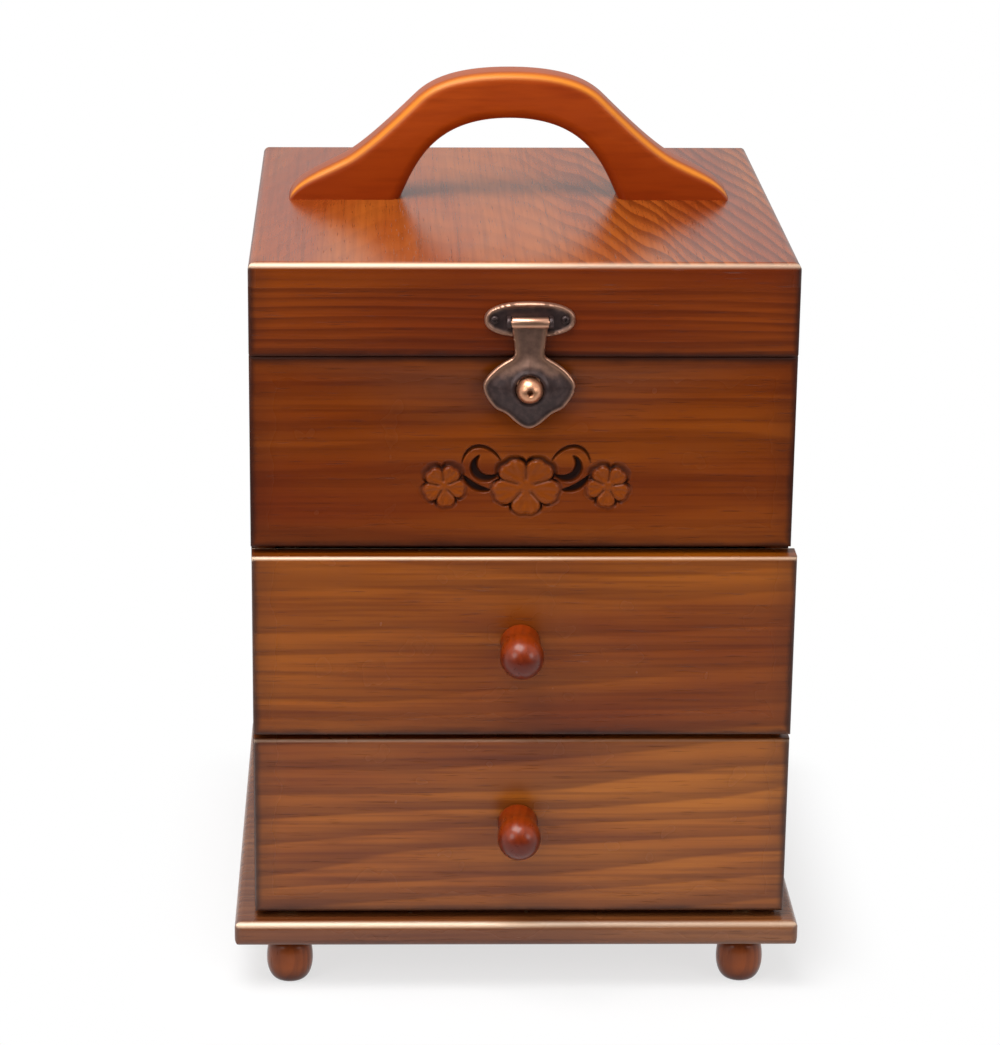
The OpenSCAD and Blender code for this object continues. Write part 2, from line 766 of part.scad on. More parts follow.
module handle_screws() {
    color(steel) placed() at_each(handle_screw_places) mirror([0, 0, 1]) wood_screw(handle_screw_l);
}

// Latch plate: an oval with a raised rim and two ears for the pin
plate_z = latch_z + plate_rise;
latch_pin_l = roll_w + 2 * (metal_gap + ear_t);
latch_screw_places = [for (s = [-1, 1]) [latch_x + s * latch_screw_x, lid_y, plate_z]];

module latch_bore(l) {
    translate([latch_x - l / 2, latch_y, latch_z]) rotate([0, 90, 0])
        cylinder(h = l, r = latch_pin_d / 2 + pin_fit);
}

module latch_plate() {
    color(bronze) placed() difference() {
        union() {
            translate([latch_x, lid_y, plate_z]) rotate([90, 0, 0]) {
                linear_extrude(plate_t) polygon(oval(plate_w, plate_h, plate_power, 64));
                linear_extrude(plate_t + rim_t) difference() {
                    polygon(oval(plate_w, plate_h, plate_power, 64));
                    polygon(oval(plate_w - 2 * rim_w, plate_h - 2 * rim_w, plate_power, 64));
                }
            }
            for (x = [-latch_pin_l / 2, latch_pin_l / 2 - ear_t]) {
                translate([latch_x + x, 0, 0]) along_x(ear_t) {
                    translate([latch_y, latch_z]) circle(roll_r);
                    translate([latch_y, latch_z - roll_r])
                        square([lid_y - plate_t / 2 - latch_y, roll_d]);
                }
            }
        }
        latch_bore(2 * latch_pin_l);
        for (p = latch_screw_places) translate(p) rotate([90, 0, 0]) pin_screw_hole();
    }
}

module latch_screws() {
    color(bronze) placed([0, -plate_t, 0])
        for (p = latch_screw_places) translate(p) rotate([90, 0, 0]) pin_screw();
}

module latch_pin() {
    color(copper) placed([latch_x - latch_pin_l / 2, latch_y, latch_z])
        rotate([0, 90, 0]) cylinder(h = latch_pin_l, r = latch_pin_d / 2);
}

// Hasp: a strap rolled round the pin, opening into a pointed shield with a ringed hole for the stud
hasp_y = latch_y + hasp_set;
strap_half = strap_w / 2;
neck_half = neck_w / 2;
shield_half = shield_w / 2;
hasp_right = chain([strap_half, 0], [
    [[strap_half, -0.1 * hasp_l], [neck_half, -0.2 * hasp_l], [neck_half, -0.29 * hasp_l]],
    [[neck_half, -0.325 * hasp_l], [0.4 * shield_half, -0.335 * hasp_l],
        [0.46 * shield_half, -0.353 * hasp_l]],
    [[0.74 * shield_half, -0.415 * hasp_l], [shield_half, -0.506 * hasp_l],
        [shield_half, -0.607 * hasp_l]],
    [[shield_half, -0.69 * hasp_l], [0.86 * shield_half, -0.765 * hasp_l],
        [0.64 * shield_half, -0.815 * hasp_l]],
    [[0.5 * shield_half, -0.846 * hasp_l], [0.35 * shield_half, -0.85 * hasp_l],
        [0.28 * shield_half, -0.885 * hasp_l]],
    [[0.21 * shield_half, -0.925 * hasp_l], [0.14 * shield_half, -hasp_l], [0, -hasp_l]]
], 8);
hasp_left = mirrored(reversed(hasp_right));
hasp_path = concat(hasp_right, [for (i = [1:len(hasp_left) - 1]) hasp_left[i]]);

module hasp() {
    color(bronze) placed() difference() {
        union() {
            translate([latch_x - roll_w / 2, latch_y, latch_z]) rotate([0, 90, 0])
                cylinder(h = roll_w, r = roll_r);
            translate([latch_x, hasp_y, latch_z]) along_y(plate_t) polygon(hasp_path);
            translate([latch_x, hasp_y - ring_t, latch_z - stud_drop])
                along_y(plate_t) circle(hasp_hole_d / 2 + ring_w);
        }
        latch_bore(2 * roll_w);
        translate([latch_x, hasp_y - ring_t - cut, latch_z - stud_drop])
            along_y(ring_t + plate_t + 2 * cut) circle(hasp_hole_d / 2);
    }
}

// Drawers: a front, two sides and a back round a bottom that runs in grooves in all four
bottom_w = drawer_w - 2 * drawer_t + 2 * housing;
bottom_l = drawer_l - drawer_t + 2 * housing;
back_y = front_t + drawer_l - drawer_t;
upper_box_z = upper_bay_z + drawer_lift;
lower_box_z = lower_bay_z + drawer_lift;

// Places a drawer's pieces, drawn from the face of its front
module drawer_placed(open) {
    placed([0, closed_y - open, 0]) children();
}

module drawer_groove(z) {
    translate([-bottom_w / 2, front_t - housing, z + bottom_rise]) cube([bottom_w, bottom_l, bottom_t]);
}

module drawer_side_blank(z) {
    translate([drawer_w / 2 - drawer_t, front_t - housing, z])
        cube([drawer_t, drawer_l + housing, drawer_h]);
}

module drawer_front(open, front_z, z) {
    color(walnut) drawer_placed(open) difference() {
        translate([front_x - front_w / 2, 0, front_z]) board([front_w, front_t, front_h],
            plan = [edge_r, edge_r, 0, 0], side = [edge_r, 0, 0, edge_r]);
        drawer_side_blank(z);
        mirror([1, 0, 0]) drawer_side_blank(z);
        drawer_groove(z);
        translate([0, -cut, front_z + front_h / 2 + knob_rise])
            along_y(front_t + 2 * cut) circle(knob_screw_d / 2 + pin_fit);
    }
}

module drawer_side(open, z, s) {
    color(pale) drawer_placed(open) flipped(s) difference() {
        drawer_side_blank(z);
        drawer_groove(z);
        translate([0, back_y, z - cut]) cube([bottom_w / 2, drawer_t + cut, drawer_h + 2 * cut]);
    }
}

module drawer_back(open, z) {
    color(pale) drawer_placed(open) difference() {
        translate([-bottom_w / 2, back_y, z]) cube([bottom_w, drawer_t, drawer_h]);
        drawer_groove(z);
    }
}

module drawer_bottom(open, z) {
    color(pale) drawer_placed(open) drawer_groove(z);
}

module drawer_lining(open, z) {
    w = drawer_w - 2 * drawer_t - 2 * felt_gap;
    color(felt) drawer_placed(open) translate([-w / 2, front_t + felt_gap, z + bottom_rise + bottom_t])
        cube([w, back_y - front_t - 2 * felt_gap, felt_t]);
}

// Turned knob: a full round head on a slightly waisted foot, bored for its screw
knob_r = knob_d / 2;
knob_mid_l = knob_l - knob_r;
knob_outline = chain([knob_foot_d / 2, 0], [
    [[knob_foot_d / 2, knob_waist_l / 3], [knob_waist_d / 2, knob_waist_l / 2],
        [knob_waist_d / 2, knob_waist_l]],
    [[knob_waist_d / 2, (knob_waist_l + knob_mid_l) / 2], [knob_r, knob_mid_l - knob_r / 2],
        [knob_r, knob_mid_l]],
    [[knob_r, knob_mid_l + 0.55 * knob_r], [0.55 * knob_r, knob_l], [0, knob_l]]
], 8);

module drawer_knob(open, front_z) {
    color(cherry) drawer_placed(open) translate([0, 0, front_z + front_h / 2 + knob_rise])
        rotate([90, 0, 0]) difference() {
            rotate_extrude() polygon(concat([[0, 0]], knob_outline));
            translate([0, 0, -cut])
                cylinder(h = knob_screw_depth + 2 * cut, r = knob_screw_d / 2 + pin_fit);
        }
}

module drawer_knob_screw(open, front_z) {
    color(steel) drawer_placed(open) translate([0, front_t, front_z + front_h / 2 + knob_rise])
        rotate([90, 0, 0]) {
            cylinder(h = front_t + knob_screw_depth, r = knob_screw_d / 2);
            translate([0, 0, -knob_screw_head_t])
                cylinder(h = knob_screw_head_t, r = knob_screw_head_d / 2);
        }
}

module upper_drawer_front() { drawer_front(upper_open, upper_front_z, upper_box_z); }
module upper_drawer_left_side() { drawer_side(upper_open, upper_box_z, -1); }
module upper_drawer_right_side() { drawer_side(upper_open, upper_box_z, 1); }
module upper_drawer_back() { drawer_back(upper_open, upper_box_z); }
module upper_drawer_bottom() { drawer_bottom(upper_open, upper_box_z); }
module upper_drawer_lining() { drawer_lining(upper_open, upper_box_z); }
module upper_drawer_knob() { drawer_knob(upper_open, upper_front_z); }
module upper_drawer_knob_screw() { drawer_knob_screw(upper_open, upper_front_z); }
module lower_drawer_front() { drawer_front(0, lower_front_z, lower_box_z); }
module lower_drawer_left_side() { drawer_side(0, lower_box_z, -1); }
module lower_drawer_right_side() { drawer_side(0, lower_box_z, 1); }
module lower_drawer_back() { drawer_back(0, lower_box_z); }
module lower_drawer_bottom() { drawer_bottom(0, lower_box_z); }
module lower_drawer_lining() { drawer_lining(0, lower_box_z); }
module lower_drawer_knob() { drawer_knob(0, lower_front_z); }
module lower_drawer_knob_screw() { drawer_knob_screw(0, lower_front_z); }

base_board();
front_left_foot();
front_right_foot();
back_left_foot();
back_right_foot();
left_side();
right_side();
back_panel();
upper_front();
upper_floor();
drawer_divider();
compartment_lining();
base_screws();
left_hinge_body_leaf();
right_hinge_body_leaf();
hinge_body_screws();
left_hinge_pin();
right_hinge_pin();
latch_stud();
lid_top();
lid_front_rail();
lid_back_rail();
lid_left_rail();
lid_right_rail();
lid_mirror();
mirror_front_bead();
mirror_right_bead();
mirror_back_bead();
mirror_left_bead();
handle();
handle_screws();
left_hinge_lid_leaf();
right_hinge_lid_leaf();
hinge_lid_screws();
latch_plate();
latch_screws();
latch_pin();
hasp();
upper_drawer_front();
upper_drawer_left_side();
upper_drawer_right_side();
upper_drawer_back();
upper_drawer_bottom();
upper_drawer_lining();
upper_drawer_knob();
upper_drawer_knob_screw();
lower_drawer_front();
lower_drawer_left_side();
lower_drawer_right_side();
lower_drawer_back();
lower_drawer_bottom();
lower_drawer_lining();
lower_drawer_knob();
lower_drawer_knob_screw();
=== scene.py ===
# %% [markdown]
# # A makeup box with a lift-up lid and two drawers
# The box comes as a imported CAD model, which holds every piece at its real size and place. This lesson
# leaves that frame where it is and gives it its looks: stained wood, worn bronze, felt and a mirror.
# A few pieces are made again as finer meshes, such as the carved front, the hasp and the turned knobs.

# %% Load the frame
import json
import math

import bmesh
import bpy
import numpy as np
from mathutils import Matrix, Vector
from mathutils.geometry import delaunay_2d_cdt


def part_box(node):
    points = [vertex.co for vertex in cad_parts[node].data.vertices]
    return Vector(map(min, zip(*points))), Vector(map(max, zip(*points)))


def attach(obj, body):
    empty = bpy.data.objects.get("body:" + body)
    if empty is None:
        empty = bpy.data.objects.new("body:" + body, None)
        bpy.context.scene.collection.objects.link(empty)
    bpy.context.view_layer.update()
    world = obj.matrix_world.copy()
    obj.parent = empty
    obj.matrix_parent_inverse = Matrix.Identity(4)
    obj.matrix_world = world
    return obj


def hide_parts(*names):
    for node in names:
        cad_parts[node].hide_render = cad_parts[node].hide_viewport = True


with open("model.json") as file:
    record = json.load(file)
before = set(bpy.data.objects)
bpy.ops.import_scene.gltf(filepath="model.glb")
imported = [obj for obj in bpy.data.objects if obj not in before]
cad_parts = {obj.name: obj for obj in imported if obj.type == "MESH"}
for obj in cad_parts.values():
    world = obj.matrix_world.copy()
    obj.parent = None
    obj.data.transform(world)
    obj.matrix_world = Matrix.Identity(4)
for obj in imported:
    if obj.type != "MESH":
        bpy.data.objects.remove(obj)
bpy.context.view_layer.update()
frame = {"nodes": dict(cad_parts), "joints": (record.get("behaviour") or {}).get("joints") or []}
nodes = frame["nodes"]
scene = bpy.context.scene
scene.view_settings.view_transform = "Standard"
MM = 0.001

# %% [markdown]
# ## The camera
# A long lens stands about 1.4 m in front of the box, a little above its lid. Where the box sits in the
# picture is set with a small lens shift and not by turning the camera, because a turn would lean the
# upright edges. Blender could aim a camera with a constraint, but a matrix from three angles is exact.

# %% Place the camera
IMAGE_H = 1045
SENSOR_MM = 36
FOCAL_PX = 3482.5
CAMERA_PLACE = Vector((-56.25, -1329.51, 595.97)) * MM
PITCH = math.radians(17.497)
YAW = math.radians(0.959)
ROLL = math.radians(0.31)

ahead = Vector((math.sin(YAW) * math.cos(PITCH), math.cos(YAW) * math.cos(PITCH), -math.sin(PITCH)))
level = Vector((math.cos(YAW), -math.sin(YAW), 0))
upright = level.cross(ahead)
right = level * math.cos(ROLL) + upright * math.sin(ROLL)
upward = upright * math.cos(ROLL) - level * math.sin(ROLL)
camera = bpy.data.objects.new("camera", bpy.data.cameras.new("camera"))
camera.data.sensor_width = SENSOR_MM
camera.data.lens = FOCAL_PX / IMAGE_H * SENSOR_MM
camera.data.shift_x = 0.07
camera.data.shift_y = -0.04
camera.matrix_world = Matrix.Translation(CAMERA_PLACE) @ Matrix((right, upward, -ahead)).transposed().to_4x4()
scene.collection.objects.link(camera)
scene.camera = camera
print("lens:", round(camera.data.lens, 1), "mm")

# %% [markdown]
# ## Shader sums written as sums
# A wood or metal finish is mostly arithmetic on a place in the object. Wiring every Math node by hand
# hides that arithmetic, so one small class wraps a socket and lets Python's own operators add the nodes.
# Everything that isn't a sum, such as a noise texture, comes from one method that makes any node.


# %% A socket that does sums
class Amount:
    """A number that varies over a surface; each operator adds one Math node to its finish."""

    def __init__(self, finish, socket):
        self.finish = finish
        self.socket = socket

    def math(self, operation, *others):
        """One Math node with this amount as its first value."""
        return self.finish.node("ShaderNodeMath", {"operation": operation}, dict(enumerate([self, *others])))

    def __add__(self, other):
        return self.math("ADD", other)

    def __sub__(self, other):
        return self.math("SUBTRACT", other)

    def __rsub__(self, other):
        return self.finish.node("ShaderNodeMath", {"operation": "SUBTRACT"}, {0: other, 1: self})

    def __mul__(self, other):
        return self.math("MULTIPLY", other)

    def __truediv__(self, other):
        return self.math("DIVIDE", other)

    def __pow__(self, other):
        return self.math("POWER", other)

    def __mod__(self, other):
        return self.math("FLOORED_MODULO", other)

    def __abs__(self):
        return self.math("ABSOLUTE")

    __radd__ = __add__
    __rmul__ = __mul__

    def lower(self, other):
        return self.math("MINIMUM", other)

    def higher(self, other):
        return self.math("MAXIMUM", other)

    def ease(self, low, high):
        """0 below low, 1 above high and a smooth step between them."""
        return self.finish.node(
            "ShaderNodeMapRange",
            {"interpolation_type": "SMOOTHSTEP"},
            {"Value": self, "From Min": low, "From Max": high},
        )


def tone(red, green, blue):
    """A colour given as it looks on a screen, in 0 to 255, as Blender's linear colour."""
    shares = [channel / 255 for channel in (red, green, blue)]
    return (*(s / 12.92 if s <= 0.04045 else ((s + 0.055) / 1.055) ** 2.4 for s in shares), 1)


print("half grey on a screen is", round(tone(128, 128, 128)[0], 3), "in linear colour")

# %% [markdown]
# A finish holds one material and makes its nodes. Its node method takes any type of node, so no texture
# needs a method of its own, and its show method links the results to the shader by their plain names.


# %% A finish that makes nodes
class Finish:
    """One procedural material, with the Principled shader's own sockets set by name."""

    def __init__(self, name, **sockets):
        self.material = bpy.data.materials.new(name)
        self.material.use_nodes = True
        self.tree = self.material.node_tree
        self.shader = self.tree.nodes["Principled BSDF"]
        self.show(**sockets)

    def plug(self, socket, value):
        """Links an amount to a socket, or sets a plain value on it."""
        if isinstance(value, Amount):
            self.tree.links.new(value.socket, socket)
        else:
            socket.default_value = value

    def show(self, **sockets):
        """Sets or links the shader's sockets, written with _ for a space."""
        for name, value in sockets.items():
            self.plug(self.shader.inputs[name.replace("_", " ")], value)
        return self.material

    def node(self, kind, settings=None, sockets=None, output=0):
        """Any node: its type, its settings, then the values or links of its sockets."""
        made = self.tree.nodes.new(kind)
        for name, value in (settings or {}).items():
            setattr(made, name, value)
        for key, value in (sockets or {}).items():
            self.plug(made.inputs[key], value)
        return Amount(self, made.outputs[output])

    def place(self):
        """The three Object coordinates, in metres."""
        point = self.node("ShaderNodeTexCoord", output=3)
        return [self.node("ShaderNodeSeparateXYZ", {}, {0: point}, axis) for axis in range(3)]

    def noise(self, x, y, z, detail=2.0):
        """Noise from 0 to 1 at a place that is already scaled."""
        point = self.node("ShaderNodeCombineXYZ", {}, {0: x, 1: y, 2: z})
        return self.node("ShaderNodeTexNoise", {}, {"Vector": point, "Scale": 1.0, "Detail": detail})

    def mix(self, share, first, second):
        """A colour between two others."""
        return self.node("ShaderNodeMix", {"data_type": "RGBA"}, {0: share, 6: first, 7: second}, 2)

    def painted(self, attribute):
        """A number stored on the mesh's points."""
        return self.node("ShaderNodeAttribute", {"attribute_name": attribute}, {}, 2)

    def bump(self, height, depth):
        """Fine relief, where a height of 1 stands depth metres proud."""
        bent = self.node("ShaderNodeBump", {}, {"Height": height, "Distance": depth})
        self.show(Normal=bent)


def dress(material, *names):
    """Gives CAD nodes a finish in place of the plain one that they were packed with."""
    for name in names:
        nodes[name].material_slots[0].material = material


print("finish tools ready")

# %% [markdown]
# ## Stained boards
# The boards are an open-grained wood under a red-brown stain and a half-gloss lacquer. A wood texture
# could be a stretched noise, but a saw cuts a board out of a log. So the grain here is the distance from
# a log's core, a line that lies behind the board, with a slow wander. Near the core line the yearly
# rings spread into wide arches, and away from it they close up into stripes, as on a sawn board.
# Finer noise, drawn out along the grain, adds clouds of colour, fibres and open pores.

# %% The grain of a sawn board
DRIFT_WAVES = (4, 16)
YEAR_WAVES = (3, 60)
YEAR_SPREAD = 1.6


def streaks(finish, along, across, behind, waves, detail=2.0):
    """Noise drawn out along the grain, with its waves per metre along the grain and across it."""
    return finish.noise(along * waves[0], across * waves[1], behind * waves[1], detail)


def log_rings(finish, along, across, behind, core, gap, lean, wander):
    """Late wood of the yearly rings, from 0 to 1, round a log core that lies along the grain."""
    drift = streaks(finish, along, across, behind, DRIFT_WAVES) - 0.5
    sideways = across - core[0] + drift * wander
    depth = behind - core[1]
    radius = (sideways * sideways + depth * depth) ** 0.5 + along * lean
    uneven = streaks(finish, along, across, behind, YEAR_WAVES, 1.0)
    year = (radius / gap + uneven * YEAR_SPREAD) % 1
    return year.ease(0.15, 0.85) - year.ease(0.88, 1.0)


DARK_LINE = tone(70, 20, 3)
PORE = tone(48, 16, 4)
CLOUD_WAVES = (5, 30)
FIBRE_WAVES = (13, 560)
PORE_WAVES = (80, 1700)
CALM_X = (-0.01, 0.05)
SEED_STEP = 0.731


def grain_colour(finish, along, across, behind, look):
    """Colour and height of the grain over one set of faces; calm fades the rings on a board's left."""
    along = along + look["seed"] * SEED_STEP
    rings = log_rings(finish, along, across, behind, look["core"], look["gap"], look["lean"], look["wander"])
    cloud = streaks(finish, along, across, behind, CLOUD_WAVES, 3.0).ease(0.3, 0.7)
    fibre = streaks(finish, along, across, behind, FIBRE_WAVES, 3.0)
    pore = streaks(finish, along, across, behind, PORE_WAVES, 1.0).ease(0.62, 0.8)
    colour = finish.mix(cloud * look["gold"], look["stain"], look["honey"])
    if look["calm"]:
        rings = rings * (across.ease(*CALM_X) * look["calm"] + (1 - look["calm"]))
    colour = finish.mix(rings * look["lines"], colour, DARK_LINE)
    colour = finish.mix((0.56 - fibre).higher(0) * look["fibre"], colour, DARK_LINE)
    colour = finish.mix(pore * look["pores"], colour, PORE)
    height = fibre * 0.5 - rings * 0.2 - pore
    return colour, height


print("fibres are about", round(1 / FIBRE_WAVES[1] / MM, 1), "mm apart")

# %% [markdown]
# A board's look is a small table, and each board changes only what differs from the basic look. Lengths
# are in metres: gap is the width of one year's ring, core the place of the log's core, and lean and wander
# say how far the rings slant and stray. Most of the other numbers are strengths.

# %% The basic look of a board
BASIC_LOOK = {
    "seed": 1.0,
    "core": (0.0, 0.06),
    "gap": 0.006,
    "lean": 0.03,
    "wander": 0.03,
    "stain": tone(112, 46, 6),
    "honey": tone(152, 80, 14),
    "gold": 0.6,
    "lines": 0.4,
    "calm": 0.0,
    "fibre": 1.6,
    "pores": 0.4,
    "rough": 0.26,
    "gloss": 1.5,
    "burn": 0.9,
    "bare_top": 0.0,
    # Strength and width of a painted highlight along the upper front and back edges:
    "worn": 0.0,
    "worn_w": 0.0024,
    "relief": 0.00008,
}
print("a board's look has", len(BASIC_LOOK), "values")

# %% [markdown]
# Two things are laid over the grain: dark stain that gathers along the edges, and a painted highlight
# along the upper edges at the front and back, where light catches the rounded arris. The painted highlight
# is palest on the left, towards the light. Both could be painted by hand, but a board is a box, so its
# finish can measure how near an edge is.

# %% The stained wood finish
BURNT_AND_SHADE = tone(30, 10, 6)
BURNT_LINE = (0.0004, 0.0032)
BURNT_HAZE = (0.0, 0.012)
LINE_SHARE = 0.62
HAZE_SHARE = 0.28
EDGE_STRAY = 0.003
BLOTCH_WAVES = 55
RELIEF_TINT = tone(138, 66, 10)
ARRIS_HIGHLIGHT = tone(244, 210, 178)
ARRIS_HIGHLIGHT_NEAR = (0.0018, 0.0036)
ARRIS_HIGHLIGHT_FADE_X = (-0.02, 0.03)
ARRIS_HIGHLIGHT_WAVES = 9


def edge_distance(place, low, high):
    """Distance from a point of a box's surface to the nearest edge of the box."""
    gaps = [(at - a).lower(b - at) for at, a, b in zip(place, low, high)]
    nearest = gaps[0].lower(gaps[1]).lower(gaps[2])
    farthest = gaps[0].higher(gaps[1]).higher(gaps[2])
    return gaps[0] + gaps[1] + gaps[2] - nearest - farthest


def stained_wood(name, grain, low, high, veneer=None, carved=False, **changes):
    """Stained board whose grain lists its along, across and behind axes, over the box low to high.
    A veneer changes the look of the faces round the board's rim, as on the lid's top board."""
    look = {**BASIC_LOOK, **changes}
    finish = Finish(name, IOR=look["gloss"])
    place = finish.place()
    middle = (low + high) / 2
    local = {axis: at - centre for axis, at, centre in zip("xyz", place, middle)}
    colour, height = grain_colour(finish, *(local[axis] for axis in grain), look)
    if veneer:
        side_gap = (place[1] - low[1]).lower(high[1] - place[1])
        side_gap = side_gap.lower(place[0] - low[0]).lower(high[0] - place[0])
        edge_face = (side_gap - (high[2] - place[2])).ease(0.0001, -0.0001)
        edge_look = {**look, **veneer}
        edge_axes = [local[axis] for axis in edge_look["grain"]]
        edge_colour, edge_height = grain_colour(finish, *edge_axes, edge_look)
        colour = finish.mix(edge_face, colour, edge_colour)
        height = height + (edge_height - height) * edge_face
    blotch = finish.noise(*(at * BLOTCH_WAVES for at in place), 2.0)
    stained_high = high + Vector((0, 0, look["bare_top"]))
    edge = edge_distance(place, low, stained_high) + (blotch - 0.5) * EDGE_STRAY
    burn = (1 - edge.ease(*BURNT_LINE)) * LINE_SHARE + (1 - edge.ease(*BURNT_HAZE)) * HAZE_SHARE
    burn = burn * look["burn"]
    # On the carved front, the mesh's painted shade in the grooves darkens the wood as well.
    if carved:
        burn = burn.higher(finish.painted("burn"))
        colour = finish.mix(finish.painted("relief") * 0.5, colour, RELIEF_TINT)
    colour = finish.mix(burn, colour, BURNT_AND_SHADE)
    # A painted highlight along the upper front and back edges, palest on the left, towards the light.
    if look["worn"]:
        from_front = (place[1] - low[1]).lower(high[1] - place[1])
        from_top = high[2] - place[2]
        band = 1 - abs(from_front - from_top).ease(0.0, look["worn_w"])
        band = band * (1 - (from_front + from_top).ease(*ARRIS_HIGHLIGHT_NEAR))
        fade = 1 - place[0].ease(*ARRIS_HIGHLIGHT_FADE_X) * 0.5
        patchy = finish.noise(place[0] * ARRIS_HIGHLIGHT_WAVES, place[1] * ARRIS_HIGHLIGHT_WAVES, 0.0, 2.0)
        patchy = patchy.ease(0.2, 0.55) * 0.3 + 0.7
        colour = finish.mix(band * fade * patchy * look["worn"], colour, ARRIS_HIGHLIGHT)
    finish.bump(height, look["relief"])
    return finish.show(Base_Color=colour, Roughness=look["rough"] + (blotch - 0.5) * 0.1 + burn * 0.24)


print("stain gathers within", round(BURNT_HAZE[1] / MM), "mm of an edge")

# %% [markdown]
# ## The boards, one finish each
# Each board was cut from another plank, so each has its own core, ring gap and strength of line. The lid
# is glued up from a top board and four rails and then stained as one box: its finish measures the edges
# of the whole lid, and the stripes run on from the rails to the top board's edges, so no joint shows.

# %% Dress the lid
ALONG_X = "xzy"
ALONG_Y_TOP = "yxz"
ALONG_Y_SIDE = "yzx"
BARE_TOP = 0.03
LID_STRIPES = {
    "gap": 0.0023,
    "core": (-0.12, 0.05),
    "lean": 0.004,
    "wander": 0.012,
    "lines": 0.45,
    "gold": 0.7,
    "stain": tone(106, 38, 4),
    "honey": tone(138, 64, 8),
    "gloss": 1.25,
    "bare_top": BARE_TOP,
}


def union_box(*names):
    """The box round several CAD nodes."""
    boxes = [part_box(name) for name in names]
    return Vector(map(min, *(b[0] for b in boxes))), Vector(map(max, *(b[1] for b in boxes)))


lid_names = ["lid_top", "lid_front_rail", "lid_back_rail", "lid_left_rail", "lid_right_rail"]
lid_low, lid_high = union_box(*lid_names)
lid_rail = stained_wood("lid_rail", ALONG_X, lid_low, lid_high, **LID_STRIPES, seed=2.0, rough=0.3)
lid_end = stained_wood("lid_end_rail", ALONG_Y_SIDE, lid_low, lid_high, **LID_STRIPES, seed=2.6)
lid_board = stained_wood(
    "lid_board",
    ALONG_Y_TOP,
    lid_low,
    lid_high,
    veneer={**LID_STRIPES, "grain": ALONG_X, "seed": 2.0},
    seed=3.3,
    core=(-0.03, -0.05),
    gap=0.0054,
    lean=0.22,
    wander=0.02,
    lines=0.6,
    calm=0.84,
    gold=0.6,
    fibre=1.1,
    stain=tone(144, 62, 18),
    honey=tone(182, 100, 34),
    rough=0.22,
    gloss=1.4,
    bare_top=BARE_TOP,
    worn=0.95,
    relief=0.00007,
)
dress(lid_board, "lid_top")
dress(lid_rail, "lid_front_rail", "lid_back_rail")
dress(lid_end, "lid_left_rail", "lid_right_rail")
print("dressed", len(lid_names), "boards of the lid")

# %% [markdown]
# The boards of the carcass are calmer, and the base is a greyer wood with a broad painted highlight along
# its upper edges. The beads round the mirror are cut from the same wood, each with its grain along its
# length.

# %% Dress the carcass and the mirror's beads
base_look = {
    "seed": 4.1,
    "lines": 0.3,
    "stain": tone(116, 62, 30),
    "honey": tone(142, 88, 46),
    "burn": 0.5,
    "bare_top": BARE_TOP,
    "worn": 0.95,
    "worn_w": 0.0027,
}
base_wood = stained_wood("base_wood", ALONG_X, *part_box("base_board"), **base_look)
side_look = {"seed": 5.2, "core": (0.03, 0.09), "gap": 0.007, "lean": 0.05, "wander": 0.04}
side_wood = stained_wood("side_wood", ALONG_Y_SIDE, *union_box("left_side", "right_side"), **side_look)
back_look = {"seed": 6.4, "gap": 0.008, "lean": 0.05, "burn": 0.4}
back_wood = stained_wood("back_wood", ALONG_X, *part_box("back_panel"), **back_look)
shelf_wood = stained_wood("shelf_wood", ALONG_X, *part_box("upper_floor"), seed=7.7, gap=0.009, burn=0.3)
dress(base_wood, "base_board")
dress(side_wood, "left_side", "right_side")
dress(back_wood, "back_panel")
dress(shelf_wood, "upper_floor", "drawer_divider")
bead_names = [f"mirror_{side}_bead" for side in ("front", "right", "back", "left")]
for bead in bead_names:
    bead_grain = ALONG_X if bead in ("mirror_front_bead", "mirror_back_bead") else ALONG_Y_TOP
    dress(stained_wood(bead, bead_grain, *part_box(bead), seed=8.5, gap=0.003, burn=0.3), bead)
print("dressed the carcass and", len(bead_names), "beads")

# %% [markdown]
# The drawer fronts show the most figure: broad, slow bands on the upper one and slanting stripes on the
# lower one. Both are a little glossier than the carcass.

# %% Dress the drawer fronts
upper_drawer_wood = stained_wood(
    "upper_drawer_wood",
    ALONG_X,
    *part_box("upper_drawer_front"),
    seed=9.1,
    core=(0.075, 0.035),
    gap=0.011,
    lean=0.012,
    wander=0.04,
    gold=0.85,
    honey=tone(156, 84, 14),
    lines=0.3,
    gloss=1.4,
    bare_top=BARE_TOP,
    worn=0.85,
    worn_w=0.0016,
)
lower_drawer_wood = stained_wood(
    "lower_drawer_wood",
    ALONG_X,
    *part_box("lower_drawer_front"),
    seed=10.9,
    core=(0.05, 0.03),
    gap=0.0075,
    lean=0.045,
    wander=0.032,
    gold=0.95,
    stain=tone(122, 56, 10),
    honey=tone(166, 94, 22),
    lines=0.45,
    gloss=1.46,
    bare_top=BARE_TOP,
    worn=0.25,
    worn_w=0.0016,
)
dress(upper_drawer_wood, "upper_drawer_front")
dress(lower_drawer_wood, "lower_drawer_front")
print("dressed both drawer fronts")

# %% [markdown]
# ## Pale drawer boxes
# Inside, the drawers are plain unstained wood with a matt, slightly dusty face. The same log rings serve,
# with soft pale tones and no burnt edges, so the insides look bare next to the lacquered fronts.


# %% The drawer boxes
BARE_PALE = tone(214, 176, 128)
BARE_RING = tone(178, 130, 80)
BARE_FIBRE = tone(150, 104, 62)
BARE_FIBRE_WAVES = (30, 700)


